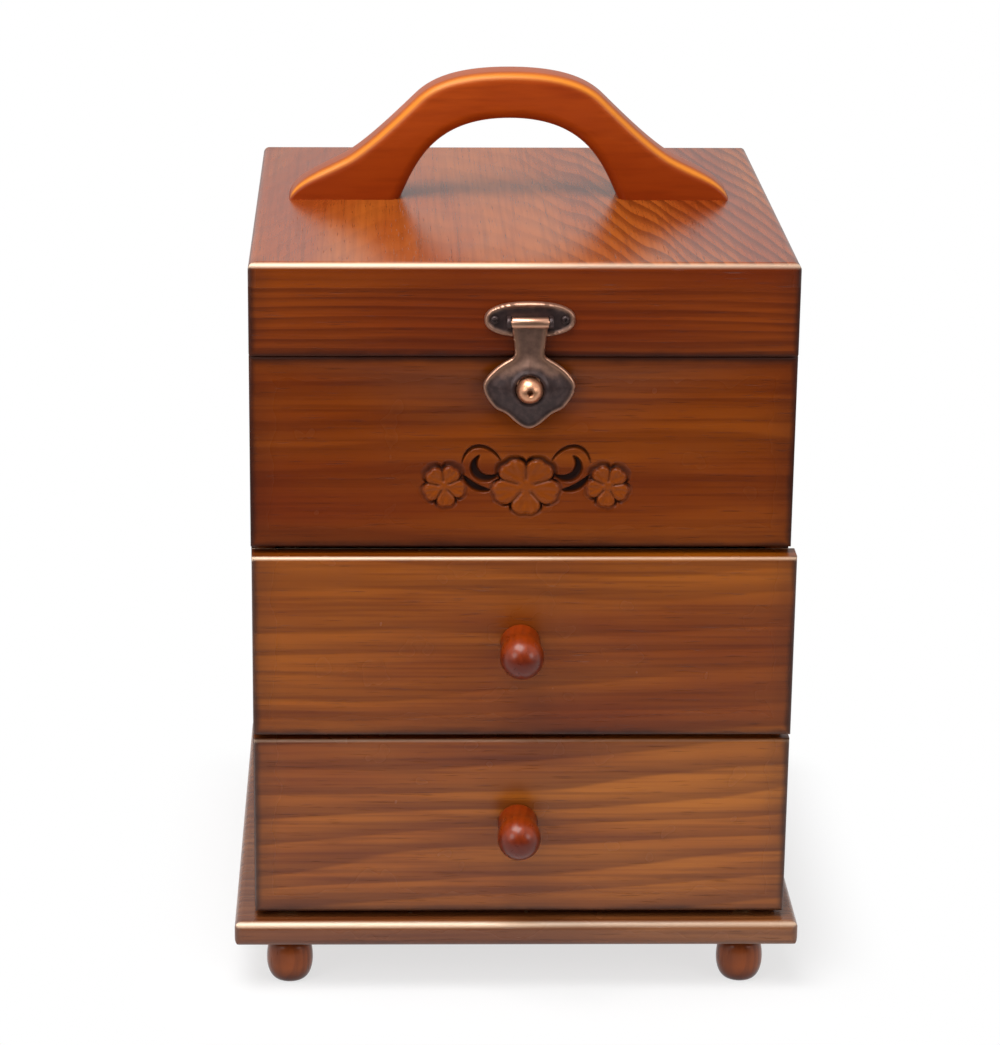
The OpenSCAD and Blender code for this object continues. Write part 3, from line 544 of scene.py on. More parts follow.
def bare_wood(name, grain, low, high, seed):
    """Unstained wood over the box low to high, with its grain listed as for a stained board."""
    finish = Finish(name, IOR=1.45)
    place = finish.place()
    middle = (low + high) / 2
    local = {axis: at - centre for axis, at, centre in zip("xyz", place, middle)}
    along, across, behind = (local[axis] for axis in grain)
    along = along + seed
    rings = log_rings(finish, along, across, behind, (0.02, 0.05), 0.006, 0.04, 0.03)
    fibre = streaks(finish, along, across, behind, BARE_FIBRE_WAVES)
    colour = finish.mix(rings * 0.5, BARE_PALE, BARE_RING)
    colour = finish.mix((0.55 - fibre).higher(0) * 1.6, colour, BARE_FIBRE)
    finish.bump(fibre - rings, 0.00008)
    return finish.show(Base_Color=colour, Roughness=0.58 + fibre * 0.2)


BOX_GRAIN = {"left_side": ALONG_Y_SIDE, "right_side": ALONG_Y_SIDE, "back": ALONG_X, "bottom": "xyz"}
for drawer, drawer_seed in (("upper_drawer", 1.7), ("lower_drawer", 4.3)):
    for part, box_grain in BOX_GRAIN.items():
        box_name = f"{drawer}_{part}"
        dress(bare_wood(box_name, box_grain, *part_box(box_name), drawer_seed), box_name)
print("dressed", 2 * len(BOX_GRAIN), "drawer box boards")

# %% [markdown]
# ## Meshes from arrays
# The finer pieces are worked out with NumPy, because a height or a distance over thousands of points is
# one line there. A helper turns points and faces into an object, smooths it except at sharp corners and
# stores any painted numbers, such as the painted shade in a carving's grooves.


# %% Helpers for new meshes
SHARP = math.radians(38)


def new_piece(name, points, faces, material, painted=None, sharp=SHARP):
    """An object at the origin from points in metres in the shared frame."""
    mesh = bpy.data.meshes.new(name)
    mesh.from_pydata([tuple(p) for p in points], [], [tuple(f) for f in faces])
    for attribute, values in (painted or {}).items():
        layer = mesh.attributes.new(attribute, "FLOAT", "POINT")
        layer.data.foreach_set("value", np.asarray(values, np.float32))
    piece = bpy.data.objects.new(name, mesh)
    scene.collection.objects.link(piece)
    finish_mesh(mesh, material, sharp)
    return piece


def finish_mesh(mesh, material, sharp=SHARP):
    """Outward faces, smooth shading with sharp corners kept, and one material."""
    shape = bmesh.new()
    shape.from_mesh(mesh)
    bmesh.ops.remove_doubles(shape, verts=shape.verts, dist=1e-7)
    bmesh.ops.recalc_face_normals(shape, faces=shape.faces)
    shape.to_mesh(mesh)
    shape.free()
    mesh.polygons.foreach_set("use_smooth", [True] * len(mesh.polygons))
    mesh.set_sharp_from_angle(angle=sharp)
    mesh.materials.clear()
    mesh.materials.append(material)


def stand_for(piece, node, body):
    """The piece rides on a body and is shown in place of a CAD node."""
    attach(piece, body)
    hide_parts(node)
    print(f"{piece.name}: {len(piece.data.polygons)} faces for {node}")
    return piece


def cubic_points(a, b, c, d, count):
    """Points on a cubic curve from a to d, without a itself."""
    t = np.linspace(0, 1, count + 1)[1:, None]
    a, b, c, d = (np.asarray(p, float) for p in (a, b, c, d))
    return (1 - t) ** 3 * a + 3 * t * (1 - t) ** 2 * b + 3 * t**2 * (1 - t) * c + t**3 * d


def chain_points(start, curves, count):
    """Points on a chain of cubic curves, each given by its two handles and its end."""
    points = [np.array([start], float)]
    for first, second, end in curves:
        points.append(cubic_points(points[-1][-1], first, second, end, count))
    return np.concatenate(points)


def smooth_step(values, low, high):
    """0 below low, 1 above high and a smooth step between them, for arrays."""
    t = np.clip((values - low) / (high - low), 0, 1)
    return t * t * (3 - 2 * t)


print("mesh helpers ready")

# %% [markdown]
# ## The carved front
# A blossom between two scrolls and two smaller blossoms is carved into the upper front. It could be a
# bump map, but a carving shows in its outline and its shadows, so it is real relief here: the flat face
# is cut open and a fine grid is let in, pushed in and out by a height worked out from the motif.
# Each blossom is a circle whose radius swells and dips with the angle, with a trench round it. The trench,
# the scrolls and the cuts are also painted darker, as painted shade, most above the petals and in their
# notches.

# %% Work out a blossom, in millimetres
BLOSSOM_X = 1.5
BLOSSOM_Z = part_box("upper_front")[0].z / MM + 24
BLOSSOM_R = 13.0
BUD_X = 30.6
BUD_R = 8.2
SQUASH = 0.87
BUD_TURN = math.radians(7)
PETALS = 5
PETAL_TURN = math.radians(54)


def blossom(x, z, centre_x, centre_z, radius, turn):
    """How far a point is outside a five-petalled blossom, the blossom's relief and the trench round it."""
    dx, dz = x - centre_x, (z - centre_z) / (SQUASH if radius == BLOSSOM_R else 1)
    reach = np.hypot(dx, dz)
    angle = np.arctan2(dz, dx) - PETAL_TURN - turn
    step = 2 * math.pi / PETALS
    from_middle = (angle + step / 2) % step - step / 2
    notch = 0.06 * np.exp(-((from_middle / 0.13) ** 2))
    lobe = 0.68 + 0.32 * np.abs(np.cos(from_middle * PETALS / 2)) ** 0.6 - notch
    outside = reach - radius * lobe
    valley = reach * np.abs(np.sin(np.abs(from_middle) - step / 2))
    cut = 0.9 * np.exp(-((valley / (0.07 * radius)) ** 2)) * smooth_step(reach, 0.1 * radius, 0.3 * radius)
    vein = reach * np.abs(np.sin(from_middle))
    dish = np.exp(-((vein / (0.14 * radius)) ** 2)) * np.exp(-(((reach / radius - 0.5) / 0.22) ** 2))
    fan = np.cos(from_middle * 22) * smooth_step(reach, 0.45 * radius, 0.8 * radius)
    rim = smooth_step(-outside, 0.0, 0.09 * radius)
    relief = 0.5 * rim - cut - 0.45 * dish + 0.12 * fan * rim
    # Above the petals and in their notches the trench is cut deeper and painted darker, as painted shade
    # under an overhead light.
    upper = smooth_step(dz / np.maximum(reach, 0.01), 0.2, 0.8)
    between = smooth_step(np.abs(from_middle), 0.28 * step, 0.5 * step)
    share = np.clip(0.3 + 0.4 * upper + 0.8 * between, 0, 1) * (radius / BLOSSOM_R) ** 0.5
    fade = 1 - smooth_step(outside, 0.7, 2.0 + 1.4 * upper)
    return outside, relief, share * smooth_step(outside, 0.0, 0.35) * fade


print("blossoms are", 2 * BLOSSOM_R, "and", 2 * BUD_R, "mm across")

# %% [markdown]
# A scroll is a few strokes of a gouge, each a curve that is thickest at its middle. The motif is worked out
# on a fine grid over a window of the front and fades out at the window's edge, so that no step shows there.

# %% Work out the carving's relief, in millimetres
WINDOW = ((BLOSSOM_X - 45, BLOSSOM_X + 45), (BLOSSOM_Z - 18, BLOSSOM_Z + 20))
GRID_STEP = 0.3
# Each scroll has four curve points in shares of the blossom's radius, then its width and depth.
SCROLL_CURVES = [
    ([1.36, 0.9], [1.74, 0.55], [1.3, -0.04], [0.74, 0.38], 1.9, 2.2),
    ([1.82, 0.33], [1.62, 0.03], [1.4, -0.12], [1.04, -0.12], 1.55, 2.2),
    ([0.72, 0.74], [1.0, 1.3], [1.7, 1.4], [1.84, 0.72], 0.75, 1.5),
]


def stroke(x, z, start, first, second, end, width, depth):
    """A groove along a cubic curve, thickest at its middle and pointed at both ends."""
    line = np.concatenate([[start], cubic_points(start, first, second, end, 36)])
    thick = width * np.sin(np.linspace(0.12, math.pi - 0.12, len(line))) ** 0.6
    gaps = np.stack([np.hypot(x - px, z - pz) - half for (px, pz), half in zip(line, thick)]).min(0)
    return depth * (1 - smooth_step(gaps, -0.5 * width, 0.25))


def carving(x, z):
    """Height, painted shade and relief tint at points of the front."""
    flowers = [blossom(x, z, BLOSSOM_X, BLOSSOM_Z, BLOSSOM_R, 0.0)]
    for side in (-1, 1):
        flowers.append(blossom(x, z, BLOSSOM_X + side * BUD_X, BLOSSOM_Z, BUD_R, -side * BUD_TURN))
    outside = np.min([f[0] for f in flowers], axis=0)
    inside = outside < 0
    relief = np.select([f[0] < 0 for f in flowers], [f[1] for f in flowers], 0.0)
    groove = np.zeros_like(x)
    for *curve, width, depth in SCROLL_CURVES:
        for side in (-1, 1):
            bent = [(BLOSSOM_X + side * BLOSSOM_R * px, BLOSSOM_Z + BLOSSOM_R * pz) for px, pz in curve]
            groove = np.maximum(groove, stroke(x, z, *bent, width, depth))
    groove = groove * smooth_step(outside, -0.2, 0.4)
    trench = np.max([f[2] for f in flowers], axis=0)
    height = np.where(inside, relief, -np.maximum(1.8 * trench, groove))
    # The grooves, the trench and the cuts inside the petals get painted shade.
    groove_burn = np.clip(np.maximum(trench, groove * 0.45), 0, 0.95)
    burn = np.where(inside, np.clip(-relief * 0.95, 0, 0.8), groove_burn)
    side_gap = np.minimum(x - WINDOW[0][0], WINDOW[0][1] - x)
    end_gap = np.minimum(z - WINDOW[1][0], WINDOW[1][1] - z)
    fade = smooth_step(np.minimum(side_gap, end_gap), 0.0, 2.0)
    return height * fade, burn * fade, inside * smooth_step(-outside, 0.0, 0.8)


counts = [int(round((high - low) / GRID_STEP)) for low, high in WINDOW]
grid_x, grid_z = np.meshgrid(*(np.linspace(*span, n + 1) for span, n in zip(WINDOW, counts)), indexing="ij")
carve_height, carve_burn, carve_relief = carving(grid_x, grid_z)
print("carving runs from", carve_height.min().round(2), "to", carve_height.max().round(2), "mm")

# %% [markdown]
# The board itself stays as the CAD has it. A copy of its mesh is merged, its flat front face is taken
# out, and the hole between the face's outline, the stud's hole and the grid is filled with triangles.


# %% Let the carving into a copy of the upper front
def carved_front():
    """The upper front with its flat face cut open and the carved grid let in."""
    low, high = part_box("upper_front")
    shape = bmesh.new()
    shape.from_mesh(nodes["upper_front"].data)
    bmesh.ops.remove_doubles(shape, verts=shape.verts, dist=1e-6)
    flat = [f for f in shape.faces if f.normal.y < -0.999 and all(v.co.y < low.y + 1e-6 for v in f.verts)]
    bmesh.ops.delete(shape, geom=flat, context="FACES")
    rims = [e for e in shape.edges if e.is_boundary]
    # The carving's painted shade is stored on the mesh's points.
    burn_layer = shape.verts.layers.float.new("burn")
    relief_layer = shape.verts.layers.float.new("relief")
    across, up = grid_x.shape
    grid = {}
    for i in range(across):
        for j in range(up):
            point = (grid_x[i, j] * MM, low.y - carve_height[i, j] * MM, grid_z[i, j] * MM)
            grid[i, j] = shape.verts.new(point)
            grid[i, j][burn_layer] = carve_burn[i, j]
            grid[i, j][relief_layer] = carve_relief[i, j]
    for i in range(across - 1):
        for j in range(up - 1):
            shape.faces.new([grid[i, j], grid[i + 1, j], grid[i + 1, j + 1], grid[i, j + 1]])
    shape.edges.index_update()
    window = [e for e in shape.edges if e.is_boundary and e not in set(rims)]
    seams = rims + window
    bmesh.ops.triangle_fill(shape, use_beauty=True, use_dissolve=False, edges=seams, normal=(0, -1, 0))
    mesh = bpy.data.meshes.new("carved_front")
    shape.to_mesh(mesh)
    shape.free()
    piece = bpy.data.objects.new("carved_front", mesh)
    scene.collection.objects.link(piece)
    wood = stained_wood(
        "carved_front_wood",
        ALONG_X,
        low,
        high,
        carved=True,
        seed=12.4,
        core=(-0.06, 0.05),
        gap=0.012,
        lean=0.02,
        wander=0.04,
        lines=0.3,
        gold=0.55,
        stain=tone(104, 38, 4),
        honey=tone(146, 74, 10),
        gloss=1.25,
    )
    finish_mesh(mesh, wood, math.radians(60))
    return piece


stand_for(carved_front(), "upper_front", "cabinet")

# %% [markdown]
# ## Antique bronze and copper
# The latch is thin sheet metal with a dark brown patina. Handling has rubbed the patina off its rims and
# edges, where the copper colour shows. A pointiness input could find edges, but it needs welded meshes
# and doesn't survive an export, so the meshes carry a painted number for it, and the CAD hinges use the
# distance to their edges. On the hasp that number also holds a painted highlight on the shield's upper
# shoulders.


# %% Metal finishes
PATINA = tone(54, 39, 38)
PATINA_MOTTLE = tone(70, 52, 50)
RUBBED = tone(196, 148, 122)
COPPER = tone(216, 158, 124)
DARK_COPPER = tone(150, 86, 52)
LEAF_RUB = 0.0012
PATINA_WAVES = 420
GRIT_WAVES = 2600
METAL_WAVES = 380


def bronze(name, rub_of):
    """Dark bronze, with rub_of giving how far the patina is rubbed off at a place, plus any painted
    highlight.
    """
    finish = Finish(name)
    place = finish.place()
    mottle = finish.noise(*(at * PATINA_WAVES for at in place), 3.0)
    grit = finish.noise(*(at * GRIT_WAVES for at in place), 1.0)
    rub_and_highlight = (rub_of(finish, place) + (mottle - 0.5) * 0.22).ease(0.1, 0.95)
    colour = finish.mix(mottle.ease(0.35, 0.7), PATINA, PATINA_MOTTLE)
    colour = finish.mix(rub_and_highlight, colour, RUBBED)
    finish.bump(mottle + grit * 0.3, 0.00004)
    return finish.show(
        Base_Color=colour,
        Metallic=rub_and_highlight * 0.45 + 0.45,
        Roughness=0.42 - rub_and_highlight * 0.12 + (grit - 0.5) * 0.1,
    )


def plain_metal(name, colour, dark, rough):
    """Bare metal with a faint dark mottle."""
    finish = Finish(name, Metallic=1.0)
    place = finish.place()
    mottle = finish.noise(*(at * METAL_WAVES for at in place), 3.0)
    finish.bump(mottle, 0.00003)
    return finish.show(
        Base_Color=finish.mix(mottle.ease(0.45, 0.75) * 0.5, colour, dark),
        Roughness=rough + (mottle - 0.5) * 0.16,
    )


def edge_rub(low, high):
    """Patina rubbed off along the edges of a box."""
    return lambda finish, place: 1 - edge_distance(place, low, high).ease(0.0, LEAF_RUB)


# The latch's painted number holds both rubbed copper and a painted highlight.
latch_bronze = bronze("latch_bronze", lambda finish, place: finish.painted("rub_and_highlight"))
copper = plain_metal("copper", COPPER, DARK_COPPER, 0.36)
steel = plain_metal("steel", tone(172, 172, 176), tone(104, 100, 98), 0.3)
for side in ("left", "right"):
    for part in ("body", "lid"):
        leaf = f"{side}_hinge_{part}_leaf"
        dress(bronze(leaf, edge_rub(*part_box(leaf))), leaf)
dress(copper, "left_hinge_pin", "right_hinge_pin", "latch_pin")
print("metal finishes ready")

# %% [markdown]
# ## Pressed sheet metal
# The latch plate and the hasp are pressed from sheet: a raised rim all round, a shallow field and, on the
# hasp, a ring round the stud's hole. A subdivided plane would lose the outline, so the outline itself is
# triangulated together with a grid of inner points, and each point's height follows from how far it lies
# from the outline and from the hole.


# %% Distances to an outline
def inside_loop(points, loop):
    """Whether each point lies inside a closed loop, by counting crossings."""
    x, z = points[:, :1], points[:, 1:]
    ax, az = loop[:, 0], loop[:, 1]
    bx, bz = np.roll(ax, -1), np.roll(az, -1)
    with np.errstate(divide="ignore", invalid="ignore"):
        crossing = ((az > z) != (bz > z)) & (x < (bx - ax) * (z - az) / (bz - az) + ax)
    return crossing.sum(1) % 2 == 1


def loop_distance(points, loop):
    """Distance from each point to a closed loop of straight pieces."""
    a, b = loop, np.roll(loop, -1, axis=0)
    run = b - a
    t = ((points[:, None] - a) * run).sum(2) / np.maximum((run * run).sum(1), 1e-12)
    nearest = a + np.clip(t, 0, 1)[:, :, None] * run
    return np.linalg.norm(points[:, None] - nearest, axis=2).min(1)


SQUARE = np.array([[0, 0], [2, 0], [2, 2], [0, 2]], float)
square_gap = loop_distance(SQUARE.mean(0, keepdims=True), SQUARE)[0]
print("the middle of a 2 mm square lies", square_gap, "mm from its edge")

# %% [markdown]
# The triangles come from Blender's own Delaunay function, which keeps the outline's edges. Bars with eased
# ends make the curl round the pin and the ears that hold it.


# %% Sheets and bars of metal
def sheet_metal(outline, holes, rise, thickness, step=0.45):
    """Points (x, out, z) in mm, faces and rub of a pressed sheet; out is measured from its flat front."""
    loops = [outline, *holes]
    low, high = outline.min(0), outline.max(0)
    grid = np.stack(np.meshgrid(*(np.arange(a, b, step) for a, b in zip(low, high))), -1).reshape(-1, 2)
    clear = inside_loop(grid, outline) & (loop_distance(grid, outline) > 0.5 * step)
    for hole in holes:
        clear &= ~inside_loop(grid, hole) & (loop_distance(grid, hole) > 0.5 * step)
    flat = np.concatenate([*loops, grid[clear]])
    starts = np.cumsum([0] + [len(loop) for loop in loops])
    rings = [[(s + i, s + (i + 1) % len(l)) for i in range(len(l))] for s, l in zip(starts, loops)]
    edges = [edge for ring in rings for edge in ring]
    made = delaunay_2d_cdt([Vector(p) for p in flat], edges, [], 0, 1e-6)
    faces = np.array(made[2])
    middles = flat[faces].mean(1)
    kept = inside_loop(middles, outline)
    for hole in holes:
        kept &= ~inside_loop(middles, hole)
    faces = faces[kept]
    front, rub_and_highlight = rise(flat)
    count = len(flat)
    points = np.concatenate([
        np.column_stack([flat[:, 0], front, flat[:, 1]]),
        np.column_stack([flat[:, 0], np.full(count, -thickness), flat[:, 1]]),
    ])
    walls = [(a, b, b + count, a + count) for a, b in edges]
    faces = [*map(tuple, faces), *(tuple(f[::-1] + count) for f in faces), *walls]
    return points, faces, np.concatenate([rub_and_highlight, rub_and_highlight])


def oval_loop(width, height, centre, count, power=1.0):
    """Points round an oval, whose corners fill out as the power falls below 1."""
    turn = np.linspace(0, 2 * math.pi, count, endpoint=False)
    across, up = (np.sign(wave) * np.abs(wave) ** power for wave in (np.cos(turn), np.sin(turn)))
    return np.column_stack([centre[0] + width / 2 * across, centre[1] + height / 2 * up])


def bar_along_x(section, x_low, x_high, ease):
    """A bar with a section of (out, z) points, its two ends eased inwards."""
    section = np.asarray(section, float)
    centre = section.mean(0)
    shrunk = centre + (section - centre) * 0.88
    layers = [(x_low, shrunk), (x_low + ease, section), (x_high - ease, section), (x_high, shrunk)]
    n = len(section)
    points = np.concatenate([np.column_stack([np.full(n, x), s]) for x, s in layers])
    faces = [
        (k * n + i, k * n + (i + 1) % n, (k + 1) * n + (i + 1) % n, (k + 1) * n + i)
        for k in range(len(layers) - 1)
        for i in range(n)
    ]
    faces += [tuple(range(n - 1, -1, -1)), tuple(range(3 * n, 4 * n))]
    return points, faces


def joined(parts):
    """Several lots of points, faces and rub as one."""
    points, faces, rub_and_highlight = [], [], []
    for part_points, part_faces, part_rub in parts:
        start = sum(len(p) for p in points)
        points.append(part_points)
        faces += [tuple(i + start for i in face) for face in part_faces]
        rub_and_highlight.append(np.broadcast_to(part_rub, len(part_points)))
    return np.concatenate(points), faces, np.concatenate(rub_and_highlight)


print("sheet metal tools ready")

# %% [markdown]
# ## The hasp and its plate
# Both are drawn round the latch pin, whose place the frame's hasp joint gives. The hasp's outline follows
# the real one: a strap, a narrow neck and a shield that ends in a point.

# %% The hasp's outline
hasp_joint = next(joint for joint in frame["joints"] if joint["name"] == "hasp_swing")
pin = np.array(hasp_joint["pos_m"], float) / MM
hasp_low, hasp_high = (np.array(corner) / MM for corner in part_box("hasp"))
stud_low, stud_high = (np.array(corner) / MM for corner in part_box("latch_stud"))
HASP_L = pin[2] - hasp_low[2]
SHIELD_HALF = (hasp_high[0] - hasp_low[0]) / 2
STRAP_HALF = 6.6
NECK_HALF = 5.5
STUD_DROP = pin[2] - (stud_low[2] + stud_high[2]) / 2
HOLE_R = 5.4


def on_hasp(across, down):
    """A point of the outline from shares of the shield's half width and of the hasp's length."""
    return [across * SHIELD_HALF, -down * HASP_L]


hasp_half = chain_points([STRAP_HALF, 0], [
    ([STRAP_HALF, -0.1 * HASP_L], [NECK_HALF, -0.2 * HASP_L], [NECK_HALF, -0.29 * HASP_L]),
    ([NECK_HALF, -0.325 * HASP_L], on_hasp(0.4, 0.335), on_hasp(0.46, 0.353)),
    (on_hasp(0.76, 0.42), on_hasp(0.985, 0.52), on_hasp(1, 0.595)),
    (on_hasp(1, 0.66), on_hasp(0.9, 0.735), on_hasp(0.76, 0.8)),
    (on_hasp(0.66, 0.838), on_hasp(0.55, 0.84), on_hasp(0.45, 0.878)),
    (on_hasp(0.32, 0.93), on_hasp(0.15, 1), on_hasp(0, 1)),
], 16)
hasp_outline = np.concatenate([hasp_half, hasp_half[-2::-1] * [-1, 1]])
stud_hole = oval_loop(2 * HOLE_R, 2 * HOLE_R, (0, -STUD_DROP), 72)
print("hasp outline has", len(hasp_outline), "points over", round(HASP_L, 1), "mm")

# %% [markdown]
# The shield is domed and its rim is raised. Its strap is rolled into a curl round the pin, so the curl is a
# ring with a slit and not a solid bar.

# %% Make the hasp
SHEET_T = 1.2
ROLL_R = 2.1
ROLL_W = 13.5
pin_low, pin_high = (np.array(corner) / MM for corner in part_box("latch_pin"))
PIN_R = (pin_high[2] - pin_low[2]) / 2
PIN_GAP = 0.08
HASP_BACK = 0.2


def hasp_rise(points):
    """Pressed relief of the hasp: a soft rim, a domed shield and a ring round the stud's hole."""
    edge = loop_distance(points, hasp_outline)
    hole = loop_distance(points, stud_hole)
    below = smooth_step(-points[:, 1], 0.27 * HASP_L, 0.42 * HASP_L)
    rounding = np.sqrt(np.clip(1 - (1 - np.clip(edge / 0.6, 0, 1)) ** 2, 0, 1)) - 1
    rim = np.exp(-(((edge - 0.9) / 0.8) ** 2))
    ring = np.exp(-(((hole - 0.8) / 0.7) ** 2))
    dome = smooth_step(edge, 0.2, 9.0)
    shoulder_highlight = below * (1 - smooth_step(-points[:, 1], 0.42 * HASP_L, 0.62 * HASP_L))
    shoulder_highlight = shoulder_highlight * smooth_step(hole, 0.5, 4)
    out = 0.6 * rounding + below * (0.4 * rim + 0.45 * ring + 2.4 * dome) + (1 - below) * 0.15 * rim
    # Worn copper on the edges, ring and strap, plus a painted highlight on the shield's upper shoulders.
    rub_and_highlight = 0.7 * np.exp(-((edge / 1.3) ** 2)) + 0.15 * ring * below + 0.36 * (1 - below) + 0.42 * shoulder_highlight
    return out, np.clip(rub_and_highlight, 0, 1)


hasp_sheet = sheet_metal(hasp_outline, [stud_hole], hasp_rise, SHEET_T)
curl_turn = np.linspace(math.radians(-62), math.radians(238), 40)
curl = np.column_stack([np.cos(curl_turn), np.sin(curl_turn)])
curl_section = np.concatenate([ROLL_R * curl, (PIN_R + PIN_GAP) * curl[::-1]])
curl_points, curl_faces = bar_along_x(curl_section * [-1, 1], -ROLL_W / 2, ROLL_W / 2, 0.35)
hasp_sheet[0][:, 1] -= HASP_BACK
hasp_points, hasp_faces, hasp_rub = joined([hasp_sheet, (curl_points, curl_faces, 0.9)])


def from_pin(points):
    """Points (x, out, z) round the latch pin, in mm, as places in the shared frame, in metres."""
    return np.column_stack([pin[0] + points[:, 0], pin[1] - points[:, 1], pin[2] + points[:, 2]]) * MM


hasp_piece = new_piece("hasp_sheet", from_pin(hasp_points), hasp_faces, latch_bronze, {"rub_and_highlight": hasp_rub})
stand_for(hasp_piece, "hasp", "hasp")

# %% [markdown]
# The plate is an oval dish. Two ears are bent forward out of it and hold the pin's ends.

# %% Make the latch plate
plate_low, plate_high = (np.array(corner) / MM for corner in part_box("latch_plate"))
PLATE_Z = (plate_low[2] + plate_high[2]) / 2 - pin[2]
PLATE_BACK = pin[1] - plate_high[1]
PLATE_POWER = 0.85
EAR_T = 1.5
EAR_GAP = 0.3
plate_outline = oval_loop(
    plate_high[0] - plate_low[0], plate_high[2] - plate_low[2], (0, PLATE_Z), 140, PLATE_POWER
)


def plate_rise(points):
    """Pressed relief of the plate: a broad rounded rim and a flat field."""
    edge = loop_distance(points, plate_outline)
    rounding = np.sqrt(np.clip(1 - (1 - np.clip(edge / 0.7, 0, 1)) ** 2, 0, 1)) - 1
    rim = np.exp(-(((edge - 0.9) / 0.85) ** 2))
    return 0.7 * rounding + 0.8 * rim, np.clip(0.72 * np.exp(-((edge / 1.9) ** 2)), 0, 1)


plate_sheet = sheet_metal(plate_outline, [], plate_rise, SHEET_T)
plate_sheet[0][:, 1] += PLATE_BACK + SHEET_T
ear_turn = np.linspace(math.radians(-90), math.radians(90), 24)
ear_section = np.concatenate([
    np.column_stack([ROLL_R * np.cos(ear_turn), ROLL_R * np.sin(ear_turn)]),
    [[PLATE_BACK + SHEET_T / 2, ROLL_R], [PLATE_BACK + SHEET_T / 2, -ROLL_R]],
])
ears = []
for ear_side in (-1, 1):
    ear_inner = ROLL_W / 2 + EAR_GAP
    ear_ends = sorted([ear_side * ear_inner, ear_side * (ear_inner + EAR_T)])
    ears.append((*bar_along_x(ear_section, *ear_ends, 0.25), 0.1))
plate_points, plate_faces, plate_rub = joined([plate_sheet, *ears])
plate_painted = {"rub_and_highlight": plate_rub}
plate_piece = new_piece("latch_plate_oval", from_pin(plate_points), plate_faces, latch_bronze, plate_painted)
stand_for(plate_piece, "latch_plate", "lid")

# %% [markdown]
# ## Turned pieces
# The knobs, the feet and the stud come off a lathe, so each is one profile turned round an axis. Blender
# has a Spin operator and a Screw modifier for that, but a small Geometry Nodes tree does it with nothing
# to clean up: the profile is swept round a circle by Curve to Mesh, and the seam and poles are merged.


# %% A Geometry Nodes tree made from Python
class NodeTree:
    """A Geometry Nodes tree with named inputs, and one method that makes any node."""

    def __init__(self, name, inputs):
        self.tree = bpy.data.node_groups.new(name, "GeometryNodeTree")
        self.keys = {}
        for label, kind in inputs:
            made = self.tree.interface.new_socket(label, in_out="INPUT", socket_type=f"NodeSocket{kind}")
            self.keys[label] = made.identifier
        self.tree.interface.new_socket("Result", in_out="OUTPUT", socket_type="NodeSocketGeometry")
        self.entry = self.tree.nodes.new("NodeGroupInput")
        self.exit = self.tree.nodes.new("NodeGroupOutput")

    def given(self, label):
        """The socket of one of the tree's inputs."""
        return self.entry.outputs[label]

    def node(self, kind, settings=None, sockets=None, output=0):
        """Any node: its type, its settings, then the values or links of its sockets."""
        made = self.tree.nodes.new(kind)
        for name, value in (settings or {}).items():
            setattr(made, name, value)
        for key, value in (sockets or {}).items():
            if isinstance(value, bpy.types.NodeSocket):
                self.tree.links.new(value, made.inputs[key])
            else:
                made.inputs[key].default_value = value
        return made.outputs[output]

    def result(self, geometry):
        """Gives the geometry the Material input and hands it out."""
        realized = self.node("GeometryNodeRealizeInstances", {}, {0: geometry})
        sockets = {"Geometry": realized, "Material": self.given("Material")}
        painted = self.node("GeometryNodeSetMaterial", {}, sockets)
        self.tree.links.new(painted, self.exit.inputs[0])

    def make(self, name, geometry, **values):
        """Runs the tree on a mesh and returns a plain mesh object."""
        worker = bpy.data.objects.new(name + "_source", geometry)
        scene.collection.objects.link(worker)
        modifier = worker.modifiers.new("nodes", "NODES")
        modifier.node_group = self.tree
        for label, value in values.items():
            modifier[self.keys[label.replace("_", " ")]] = value
        graph = bpy.context.evaluated_depsgraph_get()
        mesh = bpy.data.meshes.new_from_object(worker.evaluated_get(graph), depsgraph=graph)
        bpy.data.objects.remove(worker)
        mesh.name = name
        piece = bpy.data.objects.new(name, mesh)
        scene.collection.objects.link(piece)
        return piece


print("node trees ready")

# %% [markdown]
# The lathe's inputs are the profile, the radius of the circle that it is swept round, the number of
# segments and the material. The profile is drawn from that circle and not from the axis.

# %% The lathe
lathe = NodeTree(
    "lathe", [("Profile", "Geometry"), ("Core", "Float"), ("Segments", "Int"), ("Material", "Material")]
)
lathe_profile = lathe.node("GeometryNodeMeshToCurve", {}, {0: lathe.given("Profile")})
lathe_circle = lathe.node(
    "GeometryNodeCurvePrimitiveCircle",
    {"mode": "RADIUS"},
    {"Resolution": lathe.given("Segments"), "Radius": lathe.given("Core")},
)
lathe_sweep = {"Curve": lathe_circle, "Profile Curve": lathe_profile}
lathe_skin = lathe.node("GeometryNodeCurveToMesh", {}, lathe_sweep)
lathe.result(lathe.node("GeometryNodeMergeByDistance", {}, {"Geometry": lathe_skin, "Distance": 1e-6}))
CORE = 20 * MM


def turned(name, profile, foot, axis, material, segments=72):
    """A turned piece whose profile lists (radius, height) in mm, standing at foot along an axis."""
    line = bpy.data.meshes.new(name + "_profile")
    points = [(radius * MM - CORE, -height * MM, 0) for radius, height in profile]
    line.from_pydata(points, [(i, i + 1) for i in range(len(points) - 1)], [])
    piece = lathe.make(name, line, Core=CORE, Segments=segments, Material=material)
    stand = Vector((0, 0, 1)).rotation_difference(Vector(axis)).to_matrix().to_4x4()
    piece.data.transform(Matrix.Translation(foot) @ stand)
    finish_mesh(piece.data, material)
    return piece


def arc(centre_r, centre_h, radius, start, end, count):
    """Profile points on an arc, with its angles in degrees from the outward direction."""
    turns = np.radians(np.linspace(start, end, count))
    return [(centre_r + radius * math.cos(t), centre_h + radius * math.sin(t)) for t in turns]


print("lathe tree has", len(lathe.tree.nodes), "nodes")

